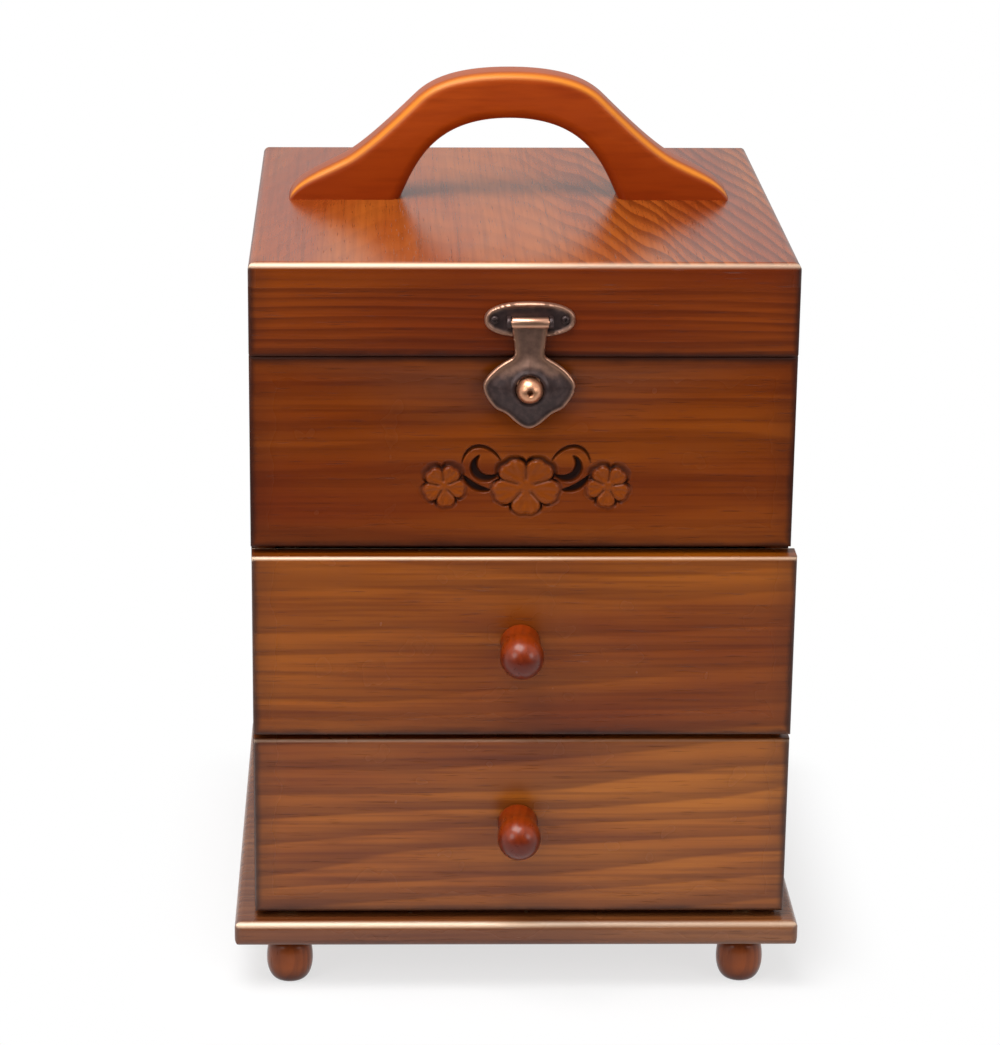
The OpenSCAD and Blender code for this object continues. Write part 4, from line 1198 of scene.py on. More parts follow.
# %% [markdown]
# ## Turned cherry wood
# The knobs and feet are a denser, redder wood with a full gloss. The wood's fibres run along the axis on
# which each was turned, so the rings circle that axis, and the lathe leaves faint lines round the piece.


# %% The cherry finish
CHERRY_CORE = (0.011, 0.009)
CHERRY_FIBRE_WAVES = (60, 520)
LATHE_WAVES = (900, 10)


def cherry_finish(name, centre, axis, pale, dark, gloss, shade):
    """Glossy red-brown wood whose rings circle an axis through centre; painted shade darkens it where shade
    is 1.
    """
    finish = Finish(name, IOR=gloss, Coat_Weight=0.15, Coat_Roughness=0.08)
    place = [at - middle for at, middle in zip(finish.place(), centre)]
    along = place[axis]
    across = [place[i] for i in range(3) if i != axis]
    rings = log_rings(finish, along, *across, CHERRY_CORE, gap=0.0026, lean=0.1, wander=0.006)
    fibre = streaks(finish, along, *across, CHERRY_FIBRE_WAVES)
    lines = streaks(finish, along, *across, LATHE_WAVES)
    colour = finish.mix(rings * 0.2, pale, dark)
    colour = finish.mix((0.55 - fibre).higher(0) * 0.9, colour, dark)
    # Painted shade from the shade function darkens the wood.
    colour = finish.mix(shade(place[2]), colour, dark)
    finish.bump(lines, 0.00002)
    return finish.show(Base_Color=colour, Roughness=0.24 + fibre * 0.1)


print("cherry finish ready")

# %% [markdown]
# A knob is a round head on a slightly waisted foot. Its profile is drawn with three curves from the sizes
# of the CAD knob, so it fills the same space.

# %% Knobs
FRONT = (0, -1, 0)
KNOB_TONES = (tone(138, 48, 3), tone(70, 12, 2))
KNOB_FOOT_R = 7.7
KNOB_WAIST_R = 7.4
KNOB_WAIST_H = 5.0
KNOB_EASE = 0.3
KNOB_ROUND = 0.55
KNOB_GLOSS = 1.38


def knob_painted_shade(height):
    """Painted shade that darkens a knob from its lit top to below its middle."""
    return (1 - height.ease(-0.0005, 0.0065)) * 0.75


for drawer in ("upper_drawer", "lower_drawer"):
    knob_low, knob_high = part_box(f"{drawer}_knob")
    knob_l = (knob_high.y - knob_low.y) / MM
    knob_r = (knob_high.x - knob_low.x) / 2 / MM
    knob_mid = knob_l - knob_r
    knob_foot = Vector(((knob_low.x + knob_high.x) / 2, knob_high.y, (knob_low.z + knob_high.z) / 2))
    knob_side = chain_points([KNOB_FOOT_R, KNOB_EASE], [
        ([KNOB_FOOT_R, KNOB_WAIST_H / 3], [KNOB_WAIST_R, KNOB_WAIST_H / 2], [KNOB_WAIST_R, KNOB_WAIST_H]),
        ([KNOB_WAIST_R, (KNOB_WAIST_H + knob_mid) / 2], [knob_r, knob_mid - knob_r / 2], [knob_r, knob_mid]),
        ([knob_r, knob_mid + KNOB_ROUND * knob_r], [KNOB_ROUND * knob_r, knob_l], [0, knob_l]),
    ], 16)
    knob_profile = [(0, 0), (KNOB_FOOT_R - KNOB_EASE, 0), *map(tuple, knob_side)]
    knob_wood = cherry_finish(f"{drawer}_knob_wood", knob_foot, 1, *KNOB_TONES, KNOB_GLOSS, knob_painted_shade)
    knob = turned(f"{drawer}_turned_knob", knob_profile, knob_foot, FRONT, knob_wood)
    stand_for(knob, f"{drawer}_knob", drawer)

# %% [markdown]
# A foot is a bun with a flat sole, a neck, a small collar under the base and a tenon inside it. Painted
# shade darkens it near the floor and under the collar, so the round belly between them is the palest.

# %% Feet
UP = (0, 0, 1)
FOOT_TONES = (tone(132, 62, 16), tone(52, 12, 5))
FOOT_GLOSS = 1.3
QUARTER = 0.56
FOOT_FLAT_R = 5.0
FOOT_MID_H = 8.5
FOOT_NECK_R = 6.0
FOOT_COLLAR_R = 7.25
FOOT_COLLAR_T = 2.0
COLLAR_EASE = 0.5
COLLAR_GAP = 0.05
TENON_R = 4.0


def foot_painted_shade(height):
    """Painted shade that darkens a foot's lower rim and the part under its collar."""
    return (1 - height.ease(0.001, 0.008)) * 0.8 + height.ease(0.012, 0.017) * 0.5


for corner in ("front_left", "front_right", "back_left", "back_right"):
    foot_low, foot_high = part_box(f"{corner}_foot")
    foot_r = (foot_high.x - foot_low.x) / 2 / MM
    foot_l = (foot_high.z - foot_low.z) / MM
    foot_top = (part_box("base_board")[0].z - foot_low.z) / MM
    neck_h = foot_top - FOOT_COLLAR_T
    flat_bend = FOOT_FLAT_R + QUARTER * (foot_r - FOOT_FLAT_R)
    neck_bend = FOOT_NECK_R + QUARTER * (foot_r - FOOT_NECK_R)
    bun = chain_points([FOOT_FLAT_R, 0], [
        ([flat_bend, 0], [foot_r, (1 - QUARTER) * FOOT_MID_H], [foot_r, FOOT_MID_H]),
        ([foot_r, FOOT_MID_H + QUARTER * (neck_h - FOOT_MID_H)], [neck_bend, neck_h], [FOOT_NECK_R, neck_h]),
    ], 16)
    collar_top = foot_top - COLLAR_GAP
    foot_profile = [(0, 0), *map(tuple, bun)]
    foot_profile += [(FOOT_COLLAR_R - COLLAR_EASE, neck_h), (FOOT_COLLAR_R, neck_h + COLLAR_EASE)]
    foot_profile += [(FOOT_COLLAR_R, collar_top), (TENON_R, collar_top), (TENON_R, foot_l), (0, foot_l)]
    foot_place = Vector(((foot_low.x + foot_high.x) / 2, (foot_low.y + foot_high.y) / 2, foot_low.z))
    foot_wood = cherry_finish(f"{corner}_foot_wood", foot_place, 2, *FOOT_TONES, FOOT_GLOSS, foot_painted_shade)
    foot = turned(f"{corner}_turned_foot", foot_profile, foot_place, UP, foot_wood)
    stand_for(foot, f"{corner}_foot", "cabinet")

# %% [markdown]
# The stud is the copper ball that the hasp drops over. Its face has a small punched dimple,
# which is coloured darker.

# %% The latch stud
DIMPLE_DARK = tone(84, 44, 26)
DIMPLE_DARK_REACH = (0.0008, 0.0018)


def punched_copper(centre):
    """Copper that is coloured darker in a dimple on the axis through centre."""
    finish = Finish("stud_copper", Metallic=1.0)
    place = finish.place()
    mottle = finish.noise(*(at * METAL_WAVES for at in place), 3.0)
    off_axis = ((place[0] - centre.x) ** 2 + (place[2] - centre.z) ** 2) ** 0.5
    colour = finish.mix(mottle.ease(0.45, 0.75) * 0.4, COPPER, DARK_COPPER)
    colour = finish.mix(1 - off_axis.ease(*DIMPLE_DARK_REACH), colour, DIMPLE_DARK)
    return finish.show(Base_Color=colour, Roughness=0.34 + (mottle - 0.5) * 0.16)


stud_place = Vector(((stud_low[0] + stud_high[0]) / 2, 0, (stud_low[2] + stud_high[2]) / 2)) * MM
stud_place.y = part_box("upper_front")[0].y
stud_l = stud_place.y / MM - stud_low[1]
stud_r = (stud_high[0] - stud_low[0]) / 2
stud_ball_h = stud_l - stud_r
DIMPLE_R = 1.5
rim_angle = math.degrees(math.acos(DIMPLE_R / stud_r))
rim_h = stud_ball_h + stud_r * math.sin(math.radians(rim_angle))
STUD_COLLAR_R = 4.4
STUD_COLLAR_T = 1
STUD_EASE = 0.3
STUD_STEM_R = 2.5
STUD_SHANK_R = 0.8
stud_depth = stud_high[1] - stud_place.y / MM
stem_angle = -math.degrees(math.acos(STUD_STEM_R / stud_r))
stud_profile = [(0, -stud_depth), (STUD_SHANK_R, -stud_depth), (STUD_SHANK_R, 0)]
stud_profile += [(STUD_COLLAR_R - STUD_EASE, 0), (STUD_COLLAR_R, STUD_EASE)]
stud_profile += [(STUD_COLLAR_R, STUD_COLLAR_T - STUD_EASE), (STUD_COLLAR_R - STUD_EASE, STUD_COLLAR_T)]
stud_profile += [(STUD_STEM_R, STUD_COLLAR_T), *arc(0, stud_ball_h, stud_r, stem_angle, rim_angle, 40)]
stud_profile += [(0.75 * DIMPLE_R, rim_h - 0.35), (0.4 * DIMPLE_R, rim_h - 0.65), (0, rim_h - 0.75)]
stud_metal = punched_copper(stud_place)
stud = turned("latch_stud_ball", stud_profile, stud_place, FRONT, stud_metal)
stand_for(stud, "latch_stud", "cabinet")

# %% [markdown]
# ## The handle
# The handle has a clear amber lacquer over a fine, straight grain. The colour is darker towards its feet,
# and a painted highlight runs along the rounded upper edges. The mesh carries that highlight as a
# painted number, rounding, because only the mesh knows where an edge is rounded.

# %% Amber lacquer
handle_low, handle_high = (np.array(corner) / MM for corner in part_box("handle"))
AMBER = tone(164, 66, 6)
AMBER_CLOUD = tone(140, 48, 4)
AMBER_FIBRE = tone(110, 34, 4)
AMBER_LOW = tone(112, 30, 2)
AMBER_HIGHLIGHT = tone(226, 136, 40)
AMBER_FIBRE_WAVES = (40, 420)
LOW_REACH = 0.04


def amber_finish():
    """Amber lacquer over fine wood with its grain along x."""
    finish = Finish("amber_lacquer", IOR=1.3)
    x, y, z = finish.place()
    fibre = streaks(finish, x, y, z, AMBER_FIBRE_WAVES, 3.0)
    cloud = finish.noise(x * 22, y * 40, z * 60).ease(0.3, 0.7)
    colour = finish.mix(cloud * 0.7, AMBER, AMBER_CLOUD)
    colour = finish.mix((0.55 - fibre).higher(0) * 1.3, colour, AMBER_FIBRE)
    near_lid = 1 - (z - handle_low[2] * MM).ease(0.0, LOW_REACH)
    colour = finish.mix(near_lid * 0.5, colour, AMBER_LOW)
    # A painted highlight on the upper rounding, from the mesh's rounding number.
    colour = finish.mix(finish.painted("rounding"), colour, AMBER_HIGHLIGHT)
    finish.bump(fibre, 0.00003)
    return finish.show(Base_Color=colour, Roughness=0.28 + fibre * 0.1)


amber = amber_finish()
print("handle finish:", amber.name)

# %% [markdown]
# The outline is drawn for one half and mirrored. Its outer side is three curves, from the crown down to
# the blunt toe, and its inner side is the arch that a hand goes through.

# %% The handle's outline
HANDLE_HALF = (handle_high[0] - handle_low[0]) / 2
HANDLE_H = handle_high[2] - handle_low[2]
ARCH_HALF = 43.0
ARCH_H = 32.0


def on_handle(across, up):
    """A point of the outline from shares of the half length and of the height."""
    return [across * HANDLE_HALF, up * HANDLE_H]


outer = chain_points([0, HANDLE_H], [
    (on_handle(0.2, 1), on_handle(0.338, 0.94), on_handle(0.424, 0.796)),
    (on_handle(0.536, 0.608), on_handle(0.636, 0.443), on_handle(0.724, 0.3435)),
    (on_handle(0.811, 0.25), on_handle(0.98, 0.165), on_handle(1, 0)),
], 20)
inner = chain_points([ARCH_HALF, 0], [
    ([0.862 * ARCH_HALF, 0.41 * ARCH_H], [0.713 * ARCH_HALF, ARCH_H], [0, ARCH_H]),
], 36)
half_outline = np.concatenate([outer, inner])
handle_outline = np.concatenate([half_outline, half_outline[-2:0:-1] * [-1, 1]])
print("handle outline has", len(handle_outline), "points over", round(2 * HANDLE_HALF, 1), "mm")

# %% [markdown]
# The handle is sawn from a plank, so its front and back are flat, and its edges are rounded over with a
# router. A Bevel modifier would fold over itself at the thin toes. So the mesh is a stack of layers that
# repeat the outline, drawn in by a quarter circle towards the faces, and drawn in less at the toes.

# %% Make the handle
HANDLE_T = handle_high[1] - handle_low[1]
HANDLE_R = 4.5
TOE_H = 12.0
TOE_SHARE = 0.25
ROUND_STEPS = 9


def rounded_over(outline, inset):
    """The outline drawn in by inset, less at the thin toes, and only sideways along its flat underside."""
    before, after = np.roll(outline, 1, axis=0), np.roll(outline, -1, axis=0)
    grounded = outline[:, 1] == 0
    before = np.where((grounded & (before[:, 1] == 0))[:, None], outline, before)
    after = np.where((grounded & (after[:, 1] == 0))[:, None], outline, after)
    run = after - before
    inward = np.column_stack([run[:, 1], -run[:, 0]]) / np.linalg.norm(run, axis=1)[:, None]
    toe = np.minimum(1, TOE_SHARE + (1 - TOE_SHARE) * outline[:, 1] / TOE_H)
    toe = np.where(np.abs(outline[:, 0]) > ARCH_HALF, toe, 1)
    shift = (toe * inset)[:, None] * inward
    along = np.column_stack([toe * inset / np.where(grounded, inward[:, 0], 1), np.zeros(len(outline))])
    return outline + np.where(grounded[:, None], along, shift)


turns = np.radians(np.linspace(0, 90, ROUND_STEPS + 1))
half_layers = [(HANDLE_R * (1 - math.cos(t)), HANDLE_R * (1 - math.sin(t))) for t in turns]
layers = [(-HANDLE_T / 2 + out, inset) for out, inset in half_layers]
layers += [(HANDLE_T / 2 - out, inset) for out, inset in half_layers[::-1]]
n = len(handle_outline)
handle_middle = [*((handle_low + handle_high) / 2)[:2], handle_low[2]]
handle_points = []
handle_highlight = []
run = np.roll(handle_outline, -1, axis=0) - np.roll(handle_outline, 1, axis=0)
# The rounding number is a painted highlight on the part of the rounding that faces up.
facing_up = smooth_step(run[:, 0] / np.linalg.norm(run, axis=1), 0.1, 0.6)
for out, inset in layers:
    drawn = rounded_over(handle_outline, inset)
    layer = np.column_stack([drawn[:, 0], np.full(n, out), drawn[:, 1]])
    handle_points.append((handle_middle + layer) * MM)
    share = 0.9 * math.exp(-(((inset / HANDLE_R - 0.3) / 0.2) ** 2))
    handle_highlight.append(share * facing_up)
handle_faces = [
    (k * n + i, (k + 1) * n + i, (k + 1) * n + (i + 1) % n, k * n + (i + 1) % n)
    for k in range(len(layers) - 1)
    for i in range(n)
]
handle_faces += [tuple(range(n)), tuple(range(len(layers) * n - 1, (len(layers) - 1) * n - 1, -1))]
handle_painted = {"rounding": np.concatenate(handle_highlight)}
handle_points = np.concatenate(handle_points)
handle_piece = new_piece("arched_handle", handle_points, handle_faces, amber, handle_painted)
stand_for(handle_piece, "handle", "lid")

# %% [markdown]
# ## Screws
# The hinges, the latch, the knobs and the base are held by cross-headed screws. They are all one shape at
# several sizes, so one Geometry Nodes tree makes them all, with the sizes as named inputs. The head is a
# flattened ball, and two boxes cut the cross out of it.

# %% The screw's head as nodes
screw_inputs = [
    ("Points", "Geometry"),
    ("Head Diameter", "Float"),
    ("Rise", "Float"),
    ("Cone", "Float"),
    ("Shank Diameter", "Float"),
    ("Shank Length", "Float"),
    ("Facing", "Vector"),
    ("Seed", "Int"),
    ("Material", "Material"),
]
screws = NodeTree("screws", screw_inputs)


def screw_sum(operation, first, second):
    """One Math node of the screw tree."""
    return screws.node("ShaderNodeMath", {"operation": operation}, {0: first, 1: second})


def vector_of(x, y, z):
    """A vector from three numbers or sockets."""
    return screws.node("ShaderNodeCombineXYZ", {}, {0: x, 1: y, 2: z})


def shifted(geometry, place, size=(1, 1, 1)):
    """Geometry moved to a place and scaled."""
    sockets = {"Geometry": geometry, "Translation": place, "Scale": size}
    return screws.node("GeometryNodeTransform", {}, sockets)


def cut_out(whole_mesh, cutter):
    """A mesh less another one."""
    sockets = {"Mesh 1": whole_mesh, "Mesh 2": cutter}
    return screws.node("GeometryNodeMeshBoolean", {"operation": "DIFFERENCE"}, sockets)


head_r = screw_sum("MULTIPLY", screws.given("Head Diameter"), 0.5)
shank_r = screw_sum("MULTIPLY", screws.given("Shank Diameter"), 0.5)
ball = screws.node("GeometryNodeMeshUVSphere", {}, {"Segments": 28, "Rings": 14, "Radius": head_r})
flattened = vector_of(1.0, 1.0, screw_sum("DIVIDE", screws.given("Rise"), head_r))
dome = shifted(ball, (0, 0, 0), flattened)
slot_box = vector_of(
    screw_sum("MULTIPLY", screws.given("Head Diameter"), 0.62),
    screw_sum("MULTIPLY", screws.given("Head Diameter"), 0.15),
    screw_sum("MULTIPLY", screws.given("Rise"), 1.1),
)
slot = screws.node("GeometryNodeMeshCube", {}, {"Size": slot_box})
slot = shifted(slot, vector_of(0.0, 0.0, screws.given("Rise")))
other_slot = screws.node("GeometryNodeTransform", {}, {"Geometry": slot, "Rotation": (0, 0, math.pi / 2)})
cut = cut_out(cut_out(dome, slot), other_slot)
print("screw head has", len(screws.tree.nodes), "nodes")

# %% [markdown]
# A cone and a shank go under the head. The tree then sets a copy of the screw on each point of a mesh, with
# its cross turned at random, as a row of real screws ends up.

# %% The rest of the screw, and its copies
cone = screws.node(
    "GeometryNodeMeshCone",
    {},
    {
        "Vertices": 28,
        "Radius Top": shank_r,
        "Radius Bottom": screw_sum("MULTIPLY", head_r, 0.98),
        "Depth": screws.given("Cone"),
    },
)
cone = screws.node("GeometryNodeTransform", {}, {"Geometry": cone, "Rotation": (math.pi, 0, 0)})
shank = screws.node(
    "GeometryNodeMeshCylinder",
    {},
    {"Vertices": 20, "Radius": shank_r, "Depth": screws.given("Shank Length")},
)
shank = shifted(shank, vector_of(0.0, 0.0, screw_sum("MULTIPLY", screws.given("Shank Length"), -0.5)))
whole = screws.tree.nodes.new("GeometryNodeJoinGeometry")
for solid in (shank, cone, cut):
    screws.tree.links.new(solid, whole.inputs[0])
facing = screws.node("FunctionNodeEulerToRotation", {}, {0: screws.given("Facing")})
copies = screws.node(
    "GeometryNodeInstanceOnPoints",
    {},
    {"Points": screws.given("Points"), "Instance": whole.outputs[0], "Rotation": facing},
)
twist = screws.node(
    "FunctionNodeRandomValue",
    {"data_type": "FLOAT"},
    {2: 0.0, 3: math.pi, "Seed": screws.given("Seed")},
    1,
)
twisted = screws.node("GeometryNodeRotateInstances", {}, {0: copies, "Rotation": vector_of(0.0, 0.0, twist)})
screws.result(twisted)
print("screw tree has", len(screws.tree.nodes), "nodes")

# %% [markdown]
# The frame already says where each screw sits. A set of screws is one CAD node with several solids, so the
# node's mesh is split into its loose parts, and the box of each part gives the place and size of a screw.


# %% Set the screws where the frame has them
def loose_boxes(name):
    """The box of each separate solid of a CAD node, in mm."""
    shape = bmesh.new()
    shape.from_mesh(nodes[name].data)
    bmesh.ops.remove_doubles(shape, verts=shape.verts, dist=1e-6)
    waiting, boxes = set(shape.verts), []
    while waiting:
        edge_of_search, group = [waiting.pop()], []
        while edge_of_search:
            vertex = edge_of_search.pop()
            group.append(vertex.co)
            found = {e.other_vert(vertex) for e in vertex.link_edges} & waiting
            waiting -= found
            edge_of_search += found
        boxes.append((np.min(group, axis=0) / MM, np.max(group, axis=0) / MM))
    shape.free()
    return boxes


FACE_BACK = (-math.pi / 2, 0, 0)
FACE_FRONT = (math.pi / 2, 0, 0)
FACE_DOWN = (math.pi, 0, 0)
SUNK = 0.2
# Each set has its node, body, facing, metal and slot, then a head's rise and the shank's width in mm.
SCREW_SETS = [
    ("hinge_body_screws", "cabinet", FACE_BACK, latch_bronze, "bronze", 1.0, 1.6),
    ("hinge_lid_screws", "lid", FACE_BACK, latch_bronze, "bronze", 1.0, 1.6),
    ("latch_screws", "lid", FACE_FRONT, latch_bronze, "bronze", 1.0, 1.6),
    ("base_screws", "cabinet", FACE_DOWN, steel, "steel", 0.35, 3.0),
    ("handle_screws", "lid", FACE_DOWN, steel, "steel", 0.35, 3.0),
    ("upper_drawer_knob_screw", "upper_drawer", FACE_BACK, steel, "steel", 2.0, 4.0),
    ("lower_drawer_knob_screw", "lower_drawer", FACE_BACK, steel, "steel", 2.0, 4.0),
]
for screw_seed, (node, body, turn, metal, metal_slot, rise, shank_d) in enumerate(SCREW_SETS):
    boxes = loose_boxes(node)
    axis = 2 if turn == FACE_DOWN else 1
    outward = 1 if turn == FACE_BACK else -1
    seats = []
    for low, high in boxes:
        seat = (low + high) / 2
        seat[axis] = (high if outward > 0 else low)[axis] - outward * rise
        seats.append(tuple(seat * MM))
    low, high = boxes[0]
    head_d = high[0] - low[0]
    sunk = 0.5 * (head_d - shank_d) if axis == 2 else SUNK
    dots = bpy.data.meshes.new(node + "_points")
    dots.from_pydata(seats, [], [])
    made = screws.make(
        node + "_set",
        dots,
        Head_Diameter=head_d * MM,
        Rise=rise * MM,
        Cone=2 * sunk * MM,
        Shank_Diameter=shank_d * MM,
        Shank_Length=(high[axis] - low[axis] - rise) * MM,
        Facing=turn,
        Seed=screw_seed,
        Material=metal,
    )
    finish_mesh(made.data, metal)
    stand_for(made, node, body)

# %% [markdown]
# ## Felt linings
# Loose felt is laid in the compartment and in each drawer. A flat box would look like card, so each sheet
# has a soft rolled edge and lies a little unevenly. Cloth physics could settle it, but a sheet that is cut
# to fit and lies flat on a board has nowhere to move, so a slight wave is enough.

# %% Lay the felt
FELT_DARK = tone(92, 20, 30)
FELT_PALE = tone(128, 34, 44)
FELT_MATTED = tone(70, 14, 24)
FUZZ_WAVES = 1500
MATTED_WAVES = 160


def felt_finish():
    """Wine-red felt with a fuzz and a few matted patches."""
    finish = Finish("felt", Sheen_Weight=0.12, Sheen_Roughness=0.5, Specular_IOR_Level=0.1)
    place = finish.place()
    fuzz = finish.noise(*(at * FUZZ_WAVES for at in place), 3.0)
    matted = finish.noise(*(at * MATTED_WAVES for at in place), 3.0)
    colour = finish.mix(fuzz.ease(0.3, 0.7), FELT_DARK, FELT_PALE)
    colour = finish.mix(matted.ease(0.4, 0.7) * 0.4, colour, FELT_MATTED)
    finish.bump(fuzz + matted * 0.6, 0.0003)
    return finish.show(Base_Color=colour, Roughness=0.92 + (matted - 0.5) * 0.1)


felt = felt_finish()
FELT_STEP = 3.0
FELT_EDGE = 0.6
WAVE_H = 0.18
WAVE_ROOM = 0.25
WAVE_FADE = 6


def lay_felt(name, node, body):
    """A sheet of felt in the place of a CAD lining, with rolled edges and a slight wave."""
    low, high = (np.array(corner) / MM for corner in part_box(node))
    spans = [np.linspace(low[i], high[i], int((high[i] - low[i]) / FELT_STEP) + 1) for i in range(2)]
    spans = [np.concatenate([[s[0], s[0] + FELT_EDGE], s[1:-1], [s[-1] - FELT_EDGE, s[-1]]]) for s in spans]
    x, y = np.meshgrid(*spans, indexing="ij")
    gap = np.minimum(np.minimum(x - low[0], high[0] - x), np.minimum(y - low[1], high[1] - y))
    thick = high[2] - low[2]
    wave = WAVE_H * np.sin(x * 0.11 + 0.6 * np.sin(y * 0.07)) * np.sin(y * 0.09 + 0.8)
    wave = wave * np.clip(gap / WAVE_FADE, 0, 1)
    top = low[2] + thick - WAVE_ROOM + wave - np.where(gap < 0.1, 0.5 * thick, 0)
    flat = np.full_like(x, low[2])
    count = x.size
    columns, rows = x.shape
    points = np.concatenate([np.stack([x, y, z], -1).reshape(-1, 3) for z in (top, flat)])
    at = np.arange(count).reshape(columns, rows)
    cells = np.stack([at[:-1, :-1], at[1:, :-1], at[1:, 1:], at[:-1, 1:]], -1).reshape(-1, 4)
    border = [*at[:, 0], *at[-1, 1:], *at[-2::-1, -1], *at[0, -2:0:-1]]
    walls = [(a, b, b + count, a + count) for a, b in zip(border, border[1:] + border[:1])]
    faces = [*map(tuple, cells), *(tuple(c[::-1] + count) for c in cells), *walls]
    piece = new_piece(name, points * MM, faces, felt, sharp=math.radians(80))
    stand_for(piece, node, body)


lay_felt("compartment_felt", "compartment_lining", "cabinet")
for drawer in ("upper_drawer", "lower_drawer"):
    lay_felt(f"{drawer}_felt", f"{drawer}_lining", drawer)

# %% [markdown]
# ## The mirror
# The mirror is one sheet of silvered glass inside the lid. Real glass over a metal face would need two
# solids, so one surface does both: a half-metal under a clear coat, with the ground edge a darker grey
# and a few faint smears in its polish.

# %% Silver the mirror
SILVER = tone(236, 240, 240)
GROUND_EDGE = tone(96, 104, 104)
GROUND_W = 0.0018


def mirror_finish(low, high):
    """Silvered glass over the box low to high."""
    finish = Finish("silvered_glass", Metallic=0.6, Coat_Weight=0.4, Coat_Roughness=0.0)
    place = finish.place()
    smear = finish.noise(place[0] * 70, place[1] * 25, place[2] * 70, 3.0)
    edge = edge_distance(place, low, high).ease(0.0, GROUND_W)
    colour = finish.mix(edge, GROUND_EDGE, SILVER)
    return finish.show(Base_Color=colour, Roughness=0.015 + smear.ease(0.5, 0.9) * 0.05)


mirror_low, mirror_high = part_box("lid_mirror")
dress(mirror_finish(mirror_low, mirror_high), "lid_mirror")
print("mirror in mm:", [round(side / MM, 1) for side in mirror_high - mirror_low])

# %% [markdown]
# ## The floor
# The box stands in a white studio. The floor is a plain white surface near the box, where it carries the
# box's shadow, and further out it shows as pure white to the camera and in reflections. A shadow catcher
# could do that too, but it would leave the backdrop to a compositor.


# %% Floor
def light_path_share(finish):
    """1 for rays that show the backdrop: from the camera, off gloss and through glass."""
    seen = finish.node("ShaderNodeLightPath", {}, {}, 0)
    gloss = Amount(finish, seen.socket.node.outputs["Is Glossy Ray"])
    through = Amount(finish, seen.socket.node.outputs["Is Transmission Ray"])
    return (seen + gloss + through).lower(1.0)


def stage_plane(name, corners, material):
    """A plane of the studio, which is no part of the box."""
    mesh = bpy.data.meshes.new(name)
    mesh.from_pydata(corners, [], [(0, 1, 2, 3)])
    mesh.materials.append(material)
    plane = bpy.data.objects.new(name, mesh)
    scene.collection.objects.link(plane)
    return plane


WHITE = (1, 1, 1, 1)
SHADOW_SHARE = 0.32
FADE_REACH = 0.045
FLOOR_HALF = 4
base_low, base_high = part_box("base_board")
floor_finish = Finish("white_floor", Base_Color=(0.86, 0.86, 0.86, 1), Roughness=0.9, Specular_IOR_Level=0.0)
floor_x, floor_y = floor_finish.place()[:2]
beside = (abs(floor_x) - base_high.x).higher(0)
before_or_behind = (base_low.y - floor_y).higher(floor_y - base_high.y).higher(0)
from_base = (beside * beside + before_or_behind * before_or_behind) ** 0.5
white_share = from_base.ease(0, FADE_REACH) * SHADOW_SHARE + (1 - SHADOW_SHARE)
white_share = white_share * light_path_share(floor_finish)
glow = floor_finish.node("ShaderNodeEmission", {}, {"Color": WHITE, "Strength": 1.0})
plain = Amount(floor_finish, floor_finish.shader.outputs[0])
mixed = floor_finish.node("ShaderNodeMixShader", {}, {0: white_share, 1: plain, 2: glow})
floor_finish.tree.links.new(mixed.socket, floor_finish.tree.nodes["Material Output"].inputs["Surface"])
floor_corners = [(x * FLOOR_HALF, y * FLOOR_HALF, 0) for x, y in ((-1, -1), (1, -1), (1, 1), (-1, 1))]
stage_plane("floor", floor_corners, floor_finish.material)
print("floor turns pure white", round(FADE_REACH / MM), "mm from the base")

# %% [markdown]
# ## Cards for the gloss
# A glossy board shows what stands in front of it, and a white room would wash its colour out. So three
# graded cards hang out of the picture, and only reflections see them: a dark one on the floor and one
# behind the camera, which keep the fronts deep, and a grey one behind the box, which the lid's top mirrors.


# %% Cards that only reflections see
def reflected_card(name, corners, pale_share, dark, pale):
    """A graded card, as a photographer hangs one out of the picture to shade a gloss."""
    finish = Finish(name, Base_Color=(0, 0, 0, 1), Specular_IOR_Level=0.0, Emission_Strength=1.0)
    finish.show(Emission_Color=finish.mix(pale_share(finish), (dark, dark, dark, 1), (pale, pale, pale, 1)))
    card = stage_plane(name, corners, finish.material)
    card.visible_camera = False
    card.visible_diffuse = False
    card.visible_shadow = False
    card.visible_transmission = False


CARD_X = 2.5
CARD_FRONT = -2.2
CARD_TOP = 2.2
CARD_LIFT = 0.002
BACK_CARD_Y = 1.2
BACK_CARD_LOW = 0.02


def card_span(low, high):
    """The corners of a card across the studio, from low to high on its other axis."""
    return [(-CARD_X, low), (CARD_X, low), (CARD_X, high), (-CARD_X, high)]


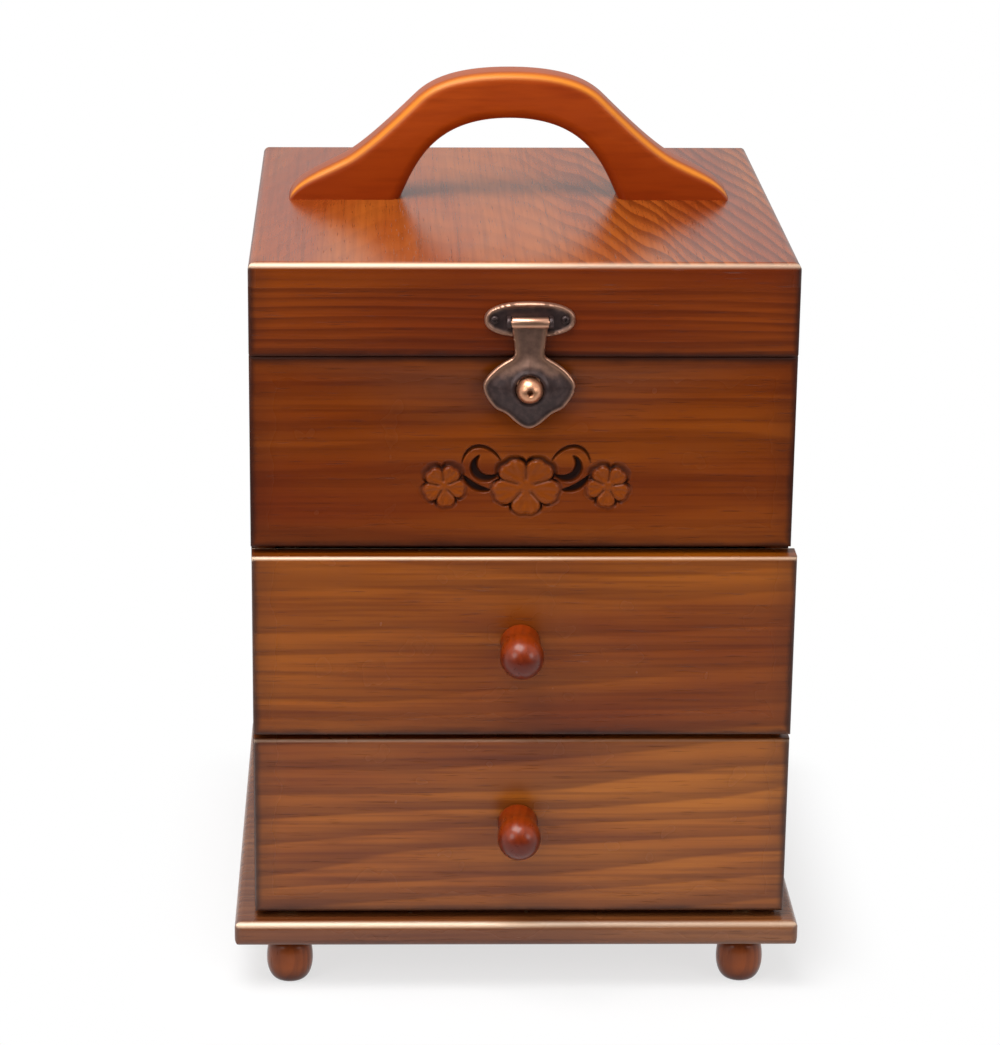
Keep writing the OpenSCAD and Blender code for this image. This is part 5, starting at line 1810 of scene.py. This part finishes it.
reflected_card(
    "floor_card",
    [(x, y, CARD_LIFT) for x, y in card_span(CARD_FRONT, base_low.y)],
    lambda finish: 1 - (base_low.y - finish.place()[1]).ease(-0.05, 0.72),
    dark=0.03,
    pale=0.95,
)
reflected_card(
    "front_card",
    [(x, CARD_FRONT, z) for x, z in card_span(CARD_LIFT, CARD_TOP)],
    lambda finish: finish.place()[2].ease(0.8, CARD_TOP),
    dark=0.03,
    pale=0.3,
)
reflected_card(
    "back_card",
    [(x, BACK_CARD_Y, z) for x, z in card_span(BACK_CARD_LOW, CARD_TOP)],
    lambda finish: finish.place()[2].ease(0.2, 1.6),
    dark=0.58,
    pale=0.8,
)

# %% [markdown]
# ## Light
# A broad soft lamp hangs above, and a weaker one stands at each side of the camera. The world fills in the
# rest: it shows as pure white, but lights the box less than that, so the soft lamps still shape it.


# %% World and lamps
class Sky(Finish):
    """The world's own nodes, with the Background node as the shader."""

    def __init__(self, world, **sockets):
        world.use_nodes = True
        self.tree = world.node_tree
        self.shader = self.tree.nodes["Background"]
        self.material = world
        self.show(**sockets)


AMBIENT = 0.42
scene.world = bpy.data.worlds.new("studio")
sky = Sky(scene.world, Color=WHITE)
sky.show(Strength=light_path_share(sky) * (1 - AMBIENT) + AMBIENT)


def softbox(name, place, aim, size, watts):
    """A rectangular lamp at a place, turned to face its aim."""
    lamp = bpy.data.lights.new(name, "AREA")
    lamp.shape = "RECTANGLE"
    lamp.size, lamp.size_y = size
    lamp.energy = watts
    box = bpy.data.objects.new(name, lamp)
    box.location = place
    box.rotation_mode = "QUATERNION"
    box.rotation_quaternion = (Vector(aim) - Vector(place)).to_track_quat("-Z", "Y")
    scene.collection.objects.link(box)


softbox("overhead", place=(-0.35, -0.45, 1.5), aim=(0, 0, 0.2), size=(1.1, 0.8), watts=21)
softbox("front_left", place=(-1.3, -1.3, 1.0), aim=(0, 0, 0.15), size=(0.8, 0.8), watts=8)
softbox("front_right", place=(1.4, -1.2, 0.9), aim=(0, 0, 0.15), size=(0.7, 0.7), watts=5)
